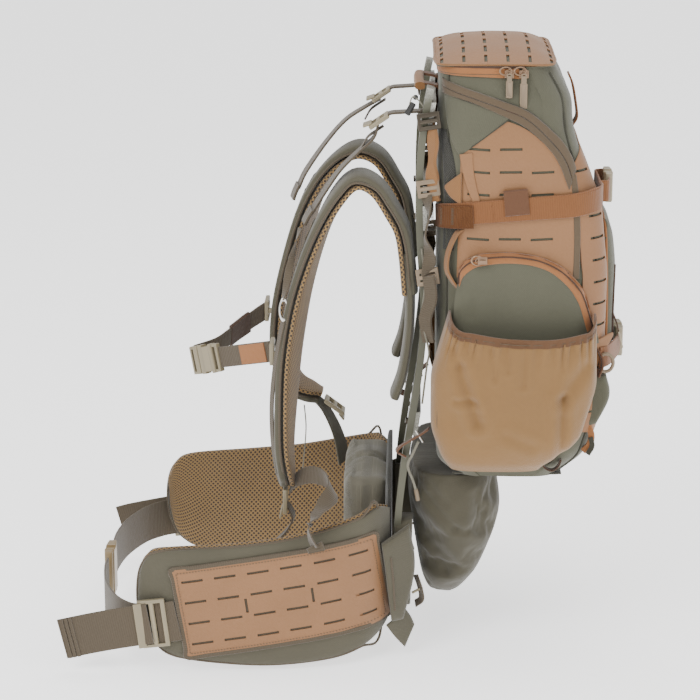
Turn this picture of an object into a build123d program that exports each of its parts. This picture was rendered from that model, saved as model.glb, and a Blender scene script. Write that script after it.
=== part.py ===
from build123d import *
import math
import os

# Hunting backpack on an external frame, in millimetres.
# The origin is the middle of the lumbar pad's face that rests on the wearer's lower back.
# +Z is up, -X is forward (towards the belt buckle), -Y is the wearer's left.

os.makedirs("parts", exist_ok=True)

LEFT = -1
RIGHT = 1
SIDES = (LEFT, RIGHT)

# ---- clearances -------------------------------------------------------------------------
move_gap = 0.6            # air between pieces that move apart
seam_gap = 0.1            # air between sewn pieces of one body
strap_gap = 2.5           # from the end of a strap to its buckle
reach = 1200              # much longer than the pack, for cutting and intersecting
rail_steps = 400          # places tried along a rail when a height on it is looked for

# ---- webbing and hardware ---------------------------------------------------------------
webbing_thickness = 2.5
small_webbing = 20        # load lifters, strap adjusters
pack_webbing = 25         # compression and sternum straps
belt_webbing = 50         # waist strap
slot_length = 25          # laser-cut attachment slots
slot_height = 3
slot_pitch_x = 38.1
slot_pitch_z = 25.4
side_slot_pitch = 35.8    # slot columns on the bag's sides, which are narrower than the belt
laminate = 1.2            # laser-cut laminate sheet
buckle_thickness = 10
waist_buckle_thickness = 12
buckle_rim = 5            # moulding beside the webbing
socket_end = 9            # the bar that the webbing goes round
plug_end = 15
release_travel = 25       # how far a plug is pulled out to free it
small_lock = (26, 4)      # length and thickness of a three-bar adjuster
lifter_lock = (26, 5)
strap_lock = (30, 5)
waist_lock_size = (32, 6)

# ---- frame ------------------------------------------------------------------------------
rail_spacing = 224        # rail centre to rail centre
rail_width = 24           # across the back
rail_thickness = 8        # fore and aft
rail_line = [(97, 512), (86, 428), (86, 340), (91, 250), (80, 140), (66, 40), (62, -56)]
crossbar_thickness = 5
crossbar_height = 28
crossbar_heights = [468, 350, 232, 108]
screw_head_radius = 4
screw_head_height = 2.5
screw_head_round = 0.9
toggle_at = (74, 488)     # a cord toggle on the left rail, and the bead above it
toggle_radius = 3.5
toggle_length = 15
bead_at = (80, 501)
bead_radius = 3
handle_half = 48
handle_axis = (103.5, 503)
handle_grip_line = (80, 90)
handle_grip_height = 8
handle_leg_width = 20
handle_leg_thickness = 3
tie_heights = [478, 402, 300]
tie_width = 18
tie_thickness = 3
tie_gap = 2               # from the back of a crossbar to a tie

# ---- bag --------------------------------------------------------------------------------
bag_wall = 4
bag_half_width = 142
bag_top_half_width = 118
bag_front = 106
bag_top = 536
bag_bottom = 58
bag_shoulder = 440        # where the sides start to lean in
bag_rear = 298
bag_top_rear = 236
bag_corner = 36
bag_floor_tuck = 16       # how far the floor is narrower than the sides, each side
bag_floor_rise = 34       # how far up the sides that tuck reaches
lid_rise = 20
lid_wall = 3

# ---- pockets ----------------------------------------------------------------------------
pocket_depth = 53         # bottle pocket, out from the bag's side
pocket_wall = 3
side_pocket_depth = 17
rear_pocket_depth = 15
rear_pocket_half_width = 88
elastic_height = 11
elastic_thickness = 1.6
zip_tape_height = 12
zip_tape_drop = 3         # from the bag's top edge to the tape
zip_tape_thickness = 1.5
slider_front_x = 184
slider_rear_x = 200
slider_size = (10, 4, 9)
pull_size = (8, 4)
pull_lengths = {"front": 30, "rear": 42}
compression_z = 372       # where the upper straps leave the bag's front, and their rise in degrees
compression_rise = 5
upper_buckle_at = (303, -30, 388)
lower_buckle_z = 205
lower_buckle_stand = 7    # from the rear pocket to the lower buckle's middle
sack_tuck = 20            # how far the sack is narrower than the bag, each side
sack_gap = 4

# ---- harness ----------------------------------------------------------------------------
strap_spacing = 190
strap_width = 60
strap_body = 12           # foam and cloth
strap_liner = 6           # open mesh on the wearer's side
left_front = [(-67, 40), (-71, 82), (-69, 141), (-64, 202), (-52, 270), (-33, 332), (-11, 379),
              (12, 404), (36, 396), (56, 366), (66, 348)]
right_front = [(-36, 92), (-68, 108), (-84, 146), (-82, 202), (-69, 265), (-49, 334), (-24, 380),
               (8, 404), (36, 396), (56, 366), (66, 348)]
strap_rear = [(66, 340), (71, 318), (75, 274), (74, 226), (67, 178), (58, 150)]
sternum_height = 200
sternum_tip_at = (-186, -14)   # where the sternum buckle's plug would end
sternum_drop = 34
sternum_buckle_back = 18
left_slider_x = -84
right_slider_x = -101
slider_clip = (5, 34, 26)
lifter_lock_at = (39, 471)
lifter_tilt = 34
left_lock_at = (-70, 20)
right_lock_at = (-18, 80)
tail_x = -20              # the left adjuster's tail hangs over the belt at this place

# ---- hip belt ---------------------------------------------------------------------------
belt_shell = 7
belt_liner = 6
belt_height = 260
belt_root = rail_spacing / 2 + 8    # each wing starts just outside its rail
belt_line = [(-243, -belt_root - 56), (-190, -belt_root - 70), (-40, -belt_root - 63),
             (28, -belt_root - 41), (46, -belt_root - 20), (51, -belt_root)]
tail_line = [(-118, 44), (-belt_root - 20, 62), (-belt_root - 52, 58), (-belt_root - 78, 34),
             (-belt_root - 83, -22)]
belt_outline = [(-236, -32), (-218, -16), (-130, -9), (-68, -1), (-20, 9), (20, 20), (46, 28),
                (58, 14), (58, -112), (30, -132), (-21, -147), (-97, -152), (-188, -143),
                (-224, -124), (-240, -80)]
belt_fillet = 9
liner_margin = 3          # mesh that shows past the shell's edge
panel_length = 232
panel_height = 108
panel_centre = (-73, -71)
panel_tilt = 8.5
lumbar_depth = 44
lumbar_half_width = 80
waist_height = -102
buckle_reach = 290        # waist buckle in front of the lumbar face
waist_middle = 2          # the joined buckle sits a little to the right
waist_lock_x = -218
waist_tail_at = (-283, -112)
waist_tail_length = 84
waist_tail_shorter = 22   # the right tail, against the left one
waist_tail_tilt = -12
sleeve_front_gap = 1
sleeve_half = 17
sleeve_z = (-104, 2)
sleeve_rear = 78


# ---- helpers ----------------------------------------------------------------------------
def grown(points, distance):
    """A closed outline's points with every edge moved outwards by a distance."""
    count = len(points)
    turning = sum(points[i - 1][0] * points[i][1] - points[i][0] * points[i - 1][1]
                  for i in range(count))
    outwards = distance * math.copysign(1, turning)
    lines = []
    for i, (x1, y1) in enumerate(points):
        x0, y0 = points[i - 1]
        length = math.hypot(x1 - x0, y1 - y0)
        along = ((x1 - x0) / length, (y1 - y0) / length)
        lines.append((x1 + along[1] * outwards, y1 - along[0] * outwards, along[0], along[1]))
    moved = []
    for i in range(count):
        x0, y0, u0, v0 = lines[i]
        x1, y1, u1, v1 = lines[(i + 1) % count]
        step = ((x1 - x0) * v1 - (y1 - y0) * u1) / (u0 * v1 - v0 * u1)
        moved.append((x0 + u0 * step, y0 + v0 * step))
    return moved


def outline(points, radius=0.0, grow=0.0):
    """A closed flat shape through the points, with rounded corners, grown or shrunk."""
    face = make_face(Polyline(*grown(points, grow), close=True))
    if radius + grow > 0.5 and radius > 0:
        face = fillet(face.vertices(), radius + grow)
    return face


def swept(flat, plane, width, middle=0.0):
    """A flat shape on a plane, made a solid of a width, evenly about a middle."""
    corner = plane.origin + plane.z_dir * (middle - width / 2)
    start = Plane(origin=corner, x_dir=plane.x_dir, z_dir=plane.z_dir)
    return extrude(start * flat, amount=width, dir=plane.z_dir)


def box(x0, x1, y0, y1, z0, z1):
    """A block from its two corners."""
    middle = Pos((x0 + x1) / 2, (y0 + y1) / 2, (z0 + z1) / 2)
    return middle * Box(x1 - x0, y1 - y0, z1 - z0)


def carve(side, plan=None, front=None):
    """The body that a side view, a plan view and a front view share."""
    body = swept(side, Plane.XZ, 2 * reach)
    if plan is not None:
        body = body & swept(plan, Plane.XY, 2 * reach)
    if front is not None:
        body = body & swept(front, Plane.YZ, 2 * reach)
    return body


def shifted(points, distance):
    """The same open line, moved sideways to its left by a distance."""
    moved = []
    for i, (x, y) in enumerate(points):
        x0, y0 = points[max(i - 1, 0)]
        x1, y1 = points[min(i + 1, len(points) - 1)]
        length = math.hypot(x1 - x0, y1 - y0)
        moved.append((x - (y1 - y0) / length * distance, y + (x1 - x0) / length * distance))
    return moved


def side_ribbon(points, thickness, width, y):
    """A strap whose line lies in the side view."""
    flat = trace(Spline(*points) if len(points) > 2 else Line(*points), line_width=thickness)
    return swept(flat, Plane.XZ, width, -y)


def plan_ribbon(points, thickness, width, z):
    """A strap whose line lies in the plan view."""
    flat = trace(Spline(*points) if len(points) > 2 else Line(*points), line_width=thickness)
    return swept(flat, Plane.XY, width, z)


def right_of(part):
    """The mirror image on the wearer's right."""
    return mirror(part, about=Plane.XZ)


def socket_depth(width):
    """How far a side-release buckle's plug goes in, for webbing of a width."""
    return width * 0.5 + 10


def socket_length(width):
    """A side-release buckle's socket, from its mouth to its far end."""
    return socket_depth(width) + socket_end


def side_release(width, thickness):
    """A side-release buckle along X: socket below 0, plug above 0, for webbing of a width."""
    half = width / 2 + buckle_rim
    depth = socket_depth(width)
    corner = 3
    rim = 3
    skin = 2
    prong_width = 6
    web_slot = Box(3.5, width + 1, reach)
    socket = box(-depth - socket_end, 0, -half, half, -thickness / 2, thickness / 2)
    socket = fillet(socket.edges().filter_by(Axis.Z), corner)
    mouth = box(-depth + 4, reach, -half + rim, half - rim, -thickness / 2 + skin, thickness / 2 - skin)
    windows = Pos(-depth / 2, 0, 0) * Box(depth * 0.35, reach, thickness - 2 * skin)
    socket = socket - mouth - windows - Pos(-depth - socket_end / 2, 0, 0) * web_slot
    plug = box(move_gap, plug_end, -half, half, -thickness / 2, thickness / 2)
    plug = fillet(plug.edges().filter_by(Axis.Z), corner)
    plug = plug - Pos(plug_end * 0.6, 0, 0) * web_slot
    flat = thickness / 2 - skin - move_gap
    prong = box(-depth * 0.8, move_gap, -half + rim + move_gap, -half + rim + prong_width, -flat, flat)
    tongue = box(-depth * 0.5, move_gap, -prong_width / 2, prong_width / 2, -flat, flat)
    plug = plug + prong + right_of(prong) + tongue
    return socket, plug


def ladder_lock(width, size):
    """A three-bar adjuster along X for webbing of a width; size is its length and thickness."""
    length, thickness = size
    plate = Box(length, width + 2 * buckle_rim, thickness)
    plate = fillet(plate.edges().filter_by(Axis.Z), 3)
    slot_share = 0.22
    slot = Box(length * slot_share, width + 1, reach)
    return plate - Pos(-length * slot_share, 0, 0) * slot - Pos(length * slot_share, 0, 0) * slot


def placed(part, origin, along, normal):
    """A piece put at a point, with its X along one direction and its Z along another."""
    return Plane(origin=origin, x_dir=along, z_dir=normal).location * part


parts = {}

# ---- frame rails, crossbars and screws --------------------------------------------------
rail_path = Spline(*rail_line)


def rail_at(height):
    """The point on the rail's line at a height, and the line's heading there."""
    best = min(range(rail_steps + 1), key=lambda k: abs(rail_path.position_at(k / rail_steps).Y - height))
    return rail_path.position_at(best / rail_steps), rail_path.tangent_at(best / rail_steps)


rail_face = trace(rail_path, line_width=rail_thickness)
rail_blank = swept(rail_face, Plane.XZ, rail_width)
parts["frame_rail_left"] = Pos(0, -rail_spacing / 2, 0) * rail_blank
parts["frame_rail_right"] = Pos(0, rail_spacing / 2, 0) * rail_blank

bar_shift = (rail_thickness + crossbar_thickness) / 2 + 2 * seam_gap
bar_path = Spline(*shifted(rail_line, bar_shift))
bar_sheet = trace(bar_path, line_width=crossbar_thickness)
bar_length = rail_spacing + rail_width
crossbars = []
screws = []
for height in crossbar_heights:
    strip = swept(bar_sheet, Plane.XZ, bar_length)
    crossbars.append(strip & box(-reach, reach, -reach, reach, height, height + crossbar_height))
    on_rail, heading = rail_at(height + crossbar_height / 2)
    lean = math.degrees(math.atan2(-heading.X, -heading.Y))
    for side in SIDES:
        head = Cylinder(screw_head_radius, screw_head_height)
        head = fillet(head.edges().sort_by(Axis.Z)[-1], screw_head_round)
        place = Pos(on_rail.X, side * rail_spacing / 2, on_rail.Y) * Rot(0, lean - 90, 0)
        screws.append(place * Pos(0, 0, (rail_thickness + screw_head_height) / 2 + seam_gap) * head)
parts["frame_crossbars"] = Compound(children=crossbars)
parts["frame_screws"] = Compound(children=screws)

toggle_y = -rail_spacing / 2 - 6
toggle = fillet(Cylinder(toggle_radius, toggle_length).edges(), 1.2)
toggle = Pos(toggle_at[0], toggle_y, toggle_at[1]) * Rot(0, 30, 0) * toggle
toggle_bead = Pos(bead_at[0], toggle_y, bead_at[1]) * Sphere(bead_radius)
parts["rail_toggle"] = Compound(children=[toggle, toggle_bead])

# ---- haul handle ------------------------------------------------------------------------
grip_front, grip_rear = handle_grip_line
handle_grip = box(grip_front, grip_rear, -handle_half, handle_half,
                  handle_axis[1] - handle_grip_height / 2, handle_axis[1] + handle_grip_height / 2)
handle_grip = fillet(handle_grip.edges(), 3)
handle_leg = box(grip_rear, handle_axis[0] + handle_leg_thickness / 2, -handle_half,
                 -handle_half + handle_leg_width, handle_axis[1] - handle_leg_thickness / 2,
                 handle_axis[1] + handle_leg_thickness / 2)
parts["haul_handle"] = handle_grip + handle_leg + right_of(handle_leg)

# ---- bag --------------------------------------------------------------------------------
bag_side_view = [(bag_front, bag_top), (bag_front, bag_bottom + 14), (bag_front + 22, bag_bottom),
                 (250, bag_bottom), (280, 86), (bag_rear - 2, 140), (bag_rear, 300), (289, 384),
                 (266, 438), (257, 470), (256, 500), (bag_top_rear, bag_top)]
bag_plan_view = [(bag_front, -bag_half_width), (bag_rear + 2, -bag_half_width),
                 (bag_rear + 2, bag_half_width), (bag_front, bag_half_width)]
bag_right_view = [(bag_top_half_width, bag_top), (bag_half_width, bag_shoulder),
                  (bag_half_width, bag_bottom + bag_floor_rise),
                  (bag_half_width - bag_floor_tuck, bag_bottom)]
bag_front_view = [(-y, z) for y, z in reversed(bag_right_view)] + bag_right_view


def bag_body(grow=0.0):
    """The bag's outer form, grown or shrunk evenly."""
    side = outline(bag_side_view, 5, grow)
    plan = outline(bag_plan_view, bag_corner, grow)
    front = outline(bag_front_view, 6, grow)
    return carve(side, plan, front)


bag_outer = bag_body()
bag_shell = bag_outer - bag_body(-bag_wall)
mouth_margin = 6
bag_shell = bag_shell - box(bag_front + mouth_margin, bag_top_rear - bag_wall,
                            -bag_top_half_width + mouth_margin, bag_top_half_width - mouth_margin,
                            bag_top - 2 * bag_wall, reach)
front_cut = bag_front + bag_corner
rear_cut = bag_top_rear
floor_cut = bag_bottom + bag_floor_rise
above_floor = box(-reach, reach, -reach, reach, floor_cut, reach)
parts["bag_back_panel"] = bag_shell & above_floor & box(-reach, front_cut, -reach, reach, 0, reach)
parts["bag_rear_panel"] = bag_shell & above_floor & box(rear_cut, reach, -reach, reach, 0, reach)
middle_part = bag_shell & above_floor & box(front_cut, rear_cut, -reach, reach, 0, reach)
parts["bag_side_left"] = middle_part & box(-reach, reach, -reach, 0, 0, reach)
parts["bag_side_right"] = middle_part & box(-reach, reach, 0, reach, 0, reach)
parts["bag_bottom"] = bag_shell & box(-reach, reach, -reach, reach, 0, floor_cut)

# ---- lid: a shallow laminate dome, hinged on its rear edge ------------------------------
lid_base = bag_top + move_gap
lid_top = lid_base + lid_rise
lid_front_edge = bag_front - 4
lid_corner = 20


def lid_body(grow, foot):
    """The lid's form from a foot height up, grown or shrunk evenly."""
    side = [(lid_front_edge, foot), (lid_front_edge + 2, lid_base + 9), (bag_front + 20, lid_top - 3),
            (165, lid_top), (218, lid_top - 3), (bag_top_rear, lid_base + 6), (bag_top_rear, foot)]
    right = [(bag_top_half_width - 22, lid_top), (bag_top_half_width, lid_base + 8),
             (bag_top_half_width + 2, foot)]
    front = [(-y, z) for y, z in reversed(right)] + right
    plan = [(lid_front_edge, -bag_half_width), (bag_top_rear, -bag_half_width),
            (bag_top_rear, bag_half_width), (lid_front_edge, bag_half_width)]
    return carve(outline(side, 0, grow), outline(plan, lid_corner, grow), outline(front, 0, grow))


parts["lid_flap"] = lid_body(0, lid_base) - lid_body(-lid_wall, lid_base - 20)

# ---- lid zip: tape under the lid's edge, two sliders, two moulded pulls -----------------
tape_top = bag_top - zip_tape_drop
tape_band = box(-reach, bag_top_rear - 30, -reach, reach, tape_top - zip_tape_height, tape_top)
parts["lid_zip_tape"] = (bag_body(zip_tape_thickness) - bag_body(seam_gap)) & tape_band
side_lean = math.degrees(math.atan2(bag_half_width - bag_top_half_width, bag_top - bag_shoulder))
zip_z = tape_top - zip_tape_height / 2
zip_y = -(bag_top_half_width + (bag_top - zip_z) * math.tan(math.radians(side_lean)))
on_side = Pos(0, zip_y, zip_z) * Rot(-side_lean, 0, 0)
slider_y = -zip_tape_thickness - move_gap - slider_size[1] / 2
pull_y = slider_y - slider_size[1] / 2 - move_gap - pull_size[1] / 2
for name, x in (("front", slider_front_x), ("rear", slider_rear_x)):
    slider = fillet(Box(*slider_size).edges().filter_by(Axis.Y), 2)
    parts["lid_zip_slider_" + name] = Pos(x, 0, 0) * on_side * Pos(0, slider_y, 0) * slider
    length = pull_lengths[name]
    pull = fillet(Box(*pull_size, length).edges().filter_by(Axis.Y), 3)
    parts["lid_zip_pull_" + name] = Pos(x, 0, 0) * on_side * Pos(0, pull_y, 1 - length / 2) * pull

# ---- laser-cut laminate on the bag's sides ----------------------------------------------
laminate_view = [(bag_front + 24, 330), (bag_front + 28, 438), (184, 476), (216, 474), (240, 452),
                 (252, 418), (256, 330)]
side_slot_start = (bag_front + 45, 345)
laminate_sheet = (bag_body(laminate) - bag_outer) & carve(outline(laminate_view, 8))
for column in range(3):
    for row in range(5):
        x = side_slot_start[0] + column * side_slot_pitch
        z = side_slot_start[1] + row * slot_pitch_z
        laminate_sheet = laminate_sheet - Pos(x, 0, z) * Box(slot_length, reach, slot_height)
parts["side_laminates"] = laminate_sheet

# ---- side pockets -----------------------------------------------------------------------
pocket_mouth = [(122, 262), (160, 246), (205, 240), (250, 246), (285, 258)]
pocket_foot = [(287, 180), (270, 116), (232, 90), (190, 82), (116, 92), (100, 130), (100, 190)]
pocket_plan = [(98, -bag_half_width + 60), (98, -bag_half_width - pocket_depth),
               (289, -bag_half_width - pocket_depth), (289, -bag_half_width + 60)]
pocket_front = [(-bag_half_width + 60, reach / 2), (-bag_half_width - pocket_depth, reach / 2),
                (-bag_half_width - pocket_depth, 118), (-bag_half_width - pocket_depth + 26, 78),
                (-bag_half_width + 60, 78)]


def bottle_pocket(grow, lift):
    """The bottle pocket's form; lift carries its mouth further up, for hollowing it."""
    side = outline([(x, z + lift) for x, z in pocket_mouth] + pocket_foot, 6, grow)
    return carve(side, outline(pocket_plan, 24, grow), outline(pocket_front, 10, grow))


pocket = bottle_pocket(0, 0) - bottle_pocket(-pocket_wall, 60) - bag_body(seam_gap)
pocket = pocket & box(-reach, reach, -reach, -bag_half_width + 40, 0, reach)
parts["bottle_pocket_left"] = pocket
parts["bottle_pocket_right"] = right_of(pocket)

band_view = [(x, z - elastic_height) for x, z in pocket_mouth] + list(reversed(pocket_mouth))
band = bottle_pocket(elastic_thickness, 10) - bottle_pocket(seam_gap, 20) - bag_body(seam_gap)
band = band & carve(outline(band_view), outline(pocket_plan, 0, 3))
band = band & box(120, 284, -reach, -bag_half_width - 10, 0, reach)
parts["pocket_elastics"] = Compound(children=[band, right_of(band)])

side_pocket_view = [(124, 268), (127, 304), (150, 321), (200, 325), (244, 320), (272, 300),
                    (284, 266), (250, 254), (205, 248), (160, 254)]
side_pocket_plan = [(120, -bag_half_width + 60), (120, -bag_half_width - side_pocket_depth),
                    (290, -bag_half_width - side_pocket_depth), (290, -bag_half_width + 60)]
side_pocket = carve(outline(side_pocket_view, 8), outline(side_pocket_plan, 14))
side_pocket = side_pocket - bag_body(laminate + seam_gap)
side_pocket = side_pocket & box(-reach, reach, -reach, -bag_half_width + 40, 0, reach)
parts["side_pocket_left"] = side_pocket
parts["side_pocket_right"] = right_of(side_pocket)

slider_face = -bag_half_width - side_pocket_depth - move_gap
pocket_slider = box(158, 169, slider_face - 4, slider_face, 306, 315)
pocket_slider = fillet(pocket_slider.edges().filter_by(Axis.Y), 2)
pocket_ring = Cylinder(7, 2.4) - Cylinder(4, 9)
pocket_pull = Pos(150, slider_face - 2, 310.5) * Rot(90, 0, 0) * pocket_ring
pocket_tag = pocket_slider + pocket_pull
parts["pocket_zip_slider_left"] = pocket_tag
parts["pocket_zip_slider_right"] = right_of(pocket_tag)

rear_pocket_x = bag_rear + rear_pocket_depth
rear_pocket_view = [(284, 366), (302, 348), (bag_rear + 11, 305), (rear_pocket_x, 250),
                    (bag_rear + 13, 200), (bag_rear, 170), (280, 170)]
rear_pocket_plan = [(270, -rear_pocket_half_width), (rear_pocket_x, -rear_pocket_half_width),
                    (rear_pocket_x, rear_pocket_half_width), (270, rear_pocket_half_width)]
rear_pocket = carve(outline(rear_pocket_view, 5), outline(rear_pocket_plan, 12))
rear_pocket = rear_pocket - bag_body(seam_gap)
parts["rear_pocket"] = rear_pocket & box(bag_rear - 40, reach, -reach, reach, 0, reach)

# ---- compression straps and their buckles ----------------------------------------------
over_laminate = bag_body(laminate + seam_gap + webbing_thickness) - bag_body(laminate + seam_gap)
slab = Box(2 * reach, 2 * reach, pack_webbing)
slab = Pos(bag_front, 0, compression_z) * Rot(0, -compression_rise, 0) * slab
hoop = over_laminate & slab & box(bag_front - 1, reach, -reach, reach, 0, reach)
buckle_y = upper_buckle_at[1]
hoop_left_end = buckle_y - socket_length(pack_webbing) - 8 - strap_gap
hoop_right_end = buckle_y + plug_end + release_travel + 2
parts["compression_strap_left"] = hoop & box(-reach, reach, -reach, hoop_left_end, 0, reach)
parts["compression_strap_right"] = hoop & box(-reach, reach, hoop_right_end, reach, 0, reach)

socket, plug = side_release(pack_webbing, buckle_thickness)
lower_buckle_x = rear_pocket_x + lower_buckle_stand
lower_buckle_at = (lower_buckle_x, buckle_y, lower_buckle_z)
for name, at in (("upper", upper_buckle_at), ("lower", lower_buckle_at)):
    parts[name + "_buckle_socket"] = placed(socket, at, (0, 1, 0), (1, 0, 0))
    parts[name + "_buckle_plug"] = placed(plug, at, (0, 1, 0), (1, 0, 0))
lower_left_line = [(292, -bag_half_width + 9), (302, -bag_half_width + 21),
                   (lower_buckle_x, buckle_y - socket_length(pack_webbing) - strap_gap)]
lower_right_line = [(292, bag_half_width - 9), (302, bag_half_width - 21), (lower_buckle_x - 3, 76),
                    (lower_buckle_x, hoop_right_end + 2)]
lower_left = plan_ribbon(lower_left_line, webbing_thickness, pack_webbing, lower_buckle_z)
lower_right = plan_ribbon(lower_right_line, webbing_thickness, pack_webbing, lower_buckle_z)
parts["lower_straps"] = Compound(children=[lower_left, lower_right])

# ---- load sack under the bag ------------------------------------------------------------
sack_top = bag_bottom - sack_gap
sack_half_width = bag_half_width - sack_tuck
sack_view = [(80, sack_top), (78, 20), (88, -40), (103, -100), (112, -114), (126, -104), (150, -68),
             (172, -25), (181, 8), (179, sack_top)]
sack_right = [(40, -120), (sack_half_width - 26, -70), (sack_half_width, 0),
              (sack_half_width - 4, bag_bottom)]
sack_front = [(-y, z) for y, z in reversed(sack_right)] + sack_right
parts["load_sack"] = carve(outline(sack_view, 4), None, outline(sack_front, 12))

# ---- straps that tie the bag to the rails -----------------------------------------------
ties = []
tie_locks = []
for height in tie_heights:
    start = rail_at(height)[0].X + rail_thickness / 2 + crossbar_thickness + tie_gap
    for side in SIDES:
        y = side * (rail_spacing / 2)
        ties.append(box(start, bag_front - seam_gap, y - tie_width / 2, y + tie_width / 2,
                        height - tie_thickness / 2, height + tie_thickness / 2))
        lock_at = (start + 11, side * (rail_spacing / 2 + tie_width), height)
        lock = placed(ladder_lock(small_webbing, small_lock), lock_at, (0, 0, 1), (0, side, 0))
        tie_locks.append(lock & box(-reach, bag_front - seam_gap, -reach, reach, 0, reach))
handle_tab_low = 470
for side in SIDES:
    tab_y = side * (handle_half - handle_leg_width / 2)
    ties.append(box(bag_front - webbing_thickness, bag_front - seam_gap, tab_y - tie_width / 2,
                    tab_y + tie_width / 2, handle_tab_low, handle_axis[1] - 4))
parts["frame_ties"] = Compound(children=ties)
parts["frame_tie_locks"] = Compound(children=tie_locks)

# ---- shoulder straps --------------------------------------------------------------------
strap_y = strap_spacing / 2
liner_shift = (strap_body + strap_liner) / 2 + move_gap
fronts = {"left": (left_front, -strap_y), "right": (right_front, strap_y)}
liners = []
rears = []
for side, (line, y) in fronts.items():
    body_line = shifted(line, strap_liner / 2)
    parts["strap_front_" + side] = side_ribbon(body_line, strap_body, strap_width, y)
    liner_line = shifted(line, strap_liner / 2 - liner_shift)
    liners.append(side_ribbon(liner_line, strap_liner, strap_width + 4, y))
    rears.append(side_ribbon(strap_rear, strap_body + strap_liner - 3, strap_width, y))
parts["strap_liners"] = Compound(children=liners)
parts["strap_rears"] = Compound(children=rears)

# ---- load lifters -----------------------------------------------------------------------
lifter_rear = []
lifter_locks = []
lifter_front = []
lifter_cos = math.cos(math.radians(lifter_tilt))
lifter_sin = math.sin(math.radians(lifter_tilt))
for side in SIDES:
    y = side * strap_y
    lifter_rear.append(side_ribbon([(80, 482), (66, 481), (53, 480)], webbing_thickness, small_webbing, y))
    lifter_rear.append(side_ribbon([(24, 459), (11, 434)], webbing_thickness, small_webbing, y))
    lock_at = (lifter_lock_at[0], y, lifter_lock_at[1])
    lock = ladder_lock(small_webbing, lifter_lock)
    lifter_locks.append(placed(lock, lock_at, (-lifter_cos, 0, -lifter_sin), (-lifter_sin, 0, lifter_cos)))
for line, y in fronts.values():
    outside = shifted(line, strap_body + 1.5)
    lifter_front.append(side_ribbon(outside[4:7], webbing_thickness, small_webbing, y))
parts["lifter_webbing_rear"] = Compound(children=lifter_rear)
parts["lifter_locks"] = Compound(children=lifter_locks)
parts["lifter_webbing_front"] = Compound(children=lifter_front)

# ---- strap adjusters and their webbing --------------------------------------------------
lock = ladder_lock(small_webbing, strap_lock)
left_lock = placed(lock, (left_lock_at[0], -strap_y, left_lock_at[1]), (0, 0, -1), (-1, 0, 0))
right_lock = placed(lock, (right_lock_at[0], strap_y, right_lock_at[1]), (0.8, 0, -0.6), (-0.6, 0, -0.8))
parts["strap_locks"] = Compound(children=[left_lock, right_lock])
left_pull_line = [(-68, 2), (-60, -16), (-72, -40), (-84, -54)]
right_pull_line = [(-4, 68), (3, 62), (9, 53)]
left_pull = side_ribbon(left_pull_line, webbing_thickness, small_webbing, -strap_y)
right_pull = side_ribbon(right_pull_line, webbing_thickness, small_webbing, strap_y)
tail_flat = trace(Spline(*tail_line), line_width=webbing_thickness)
tail = swept(tail_flat, Plane.YZ, small_webbing, tail_x)
parts["strap_adjuster_webbing"] = Compound(children=[left_pull, right_pull, tail])

# ---- sternum strap ----------------------------------------------------------------------
left_slider_at = (left_slider_x, -strap_y, sternum_height)
right_slider_at = (right_slider_x, strap_y, sternum_height + 4)
clip = fillet(Box(*slider_clip).edges().filter_by(Axis.X), 4)
clip = clip - Box(reach, slider_clip[1] - 12, 5)
parts["sternum_sliders"] = Compound(children=[Pos(*left_slider_at) * clip, Pos(*right_slider_at) * clip])
sternum_tip = (*sternum_tip_at, sternum_height - sternum_drop)
arm = tuple(tip - start for tip, start in zip(sternum_tip, left_slider_at))
arm_length = math.sqrt(sum(a * a for a in arm))
arm_dir = tuple(a / arm_length for a in arm)
arm_normal = (arm_dir[1], -arm_dir[0], 0)
buckle_along = arm_length - sternum_buckle_back
buckle_at = tuple(start + step * buckle_along for start, step in zip(left_slider_at, arm_dir))
parts["sternum_buckle_socket"] = placed(socket, buckle_at, arm_dir, arm_normal)
parts["sternum_buckle_plug"] = placed(plug, buckle_at, arm_dir, arm_normal)
near_run = box(8, buckle_along - socket_length(pack_webbing) - strap_gap, -pack_webbing / 2,
               pack_webbing / 2, -webbing_thickness / 2, webbing_thickness / 2)
near_web = placed(near_run, left_slider_at, arm_dir, arm_normal)
far_line = [(-184, 6), (-156, 40), (right_slider_x - 5, strap_y - 10)]
far_web = plan_ribbon(far_line, webbing_thickness, pack_webbing, sternum_height - 12)
parts["sternum_webbing"] = Compound(children=[near_web, far_web])

# ---- hip belt ---------------------------------------------------------------------------
def belt_sheet(thickness, shift, view):
    """A sheet that follows the belt's plan line, moved sideways, trimmed to a side view."""
    line = shifted(belt_line, shift)
    flat = trace(Spline(*line), line_width=thickness)
    return swept(flat, Plane.XY, 2 * belt_height) & carve(view)


wing = belt_sheet(belt_shell, 0, outline(belt_outline, belt_fillet))
parts["belt_wing_left"] = wing
parts["belt_wing_right"] = right_of(wing)
liner = belt_sheet(belt_liner, (belt_shell + belt_liner) / 2 + move_gap,
                   outline(belt_outline, belt_fillet, liner_margin))
liner = liner & box(-reach, lumbar_depth - 6, -reach, 0, -reach, reach)
parts["belt_liners"] = Compound(children=[liner, right_of(liner)])

panel_frame = Pos(*panel_centre) * Rot(0, 0, panel_tilt)
panel_view = panel_frame * Rectangle(panel_length, panel_height)
panel = belt_sheet(laminate, -(belt_shell + laminate) / 2 - 3 * seam_gap, panel_view)
belt_columns = 6
belt_rows = 4
for column in range(belt_columns):
    for row in range(belt_rows):
        at = Pos((column - (belt_columns - 1) / 2) * slot_pitch_x, (row - (belt_rows - 1) / 2) * slot_pitch_z)
        panel = panel - carve(panel_frame * at * Rectangle(slot_length, slot_height))
for column in (-1, 1):
    at = Pos(column * slot_pitch_x, 0)
    panel = panel - carve(panel_frame * at * Rectangle(slot_height, slot_pitch_z - 8))
parts["belt_panels"] = Compound(children=[panel, right_of(panel)])

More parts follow.
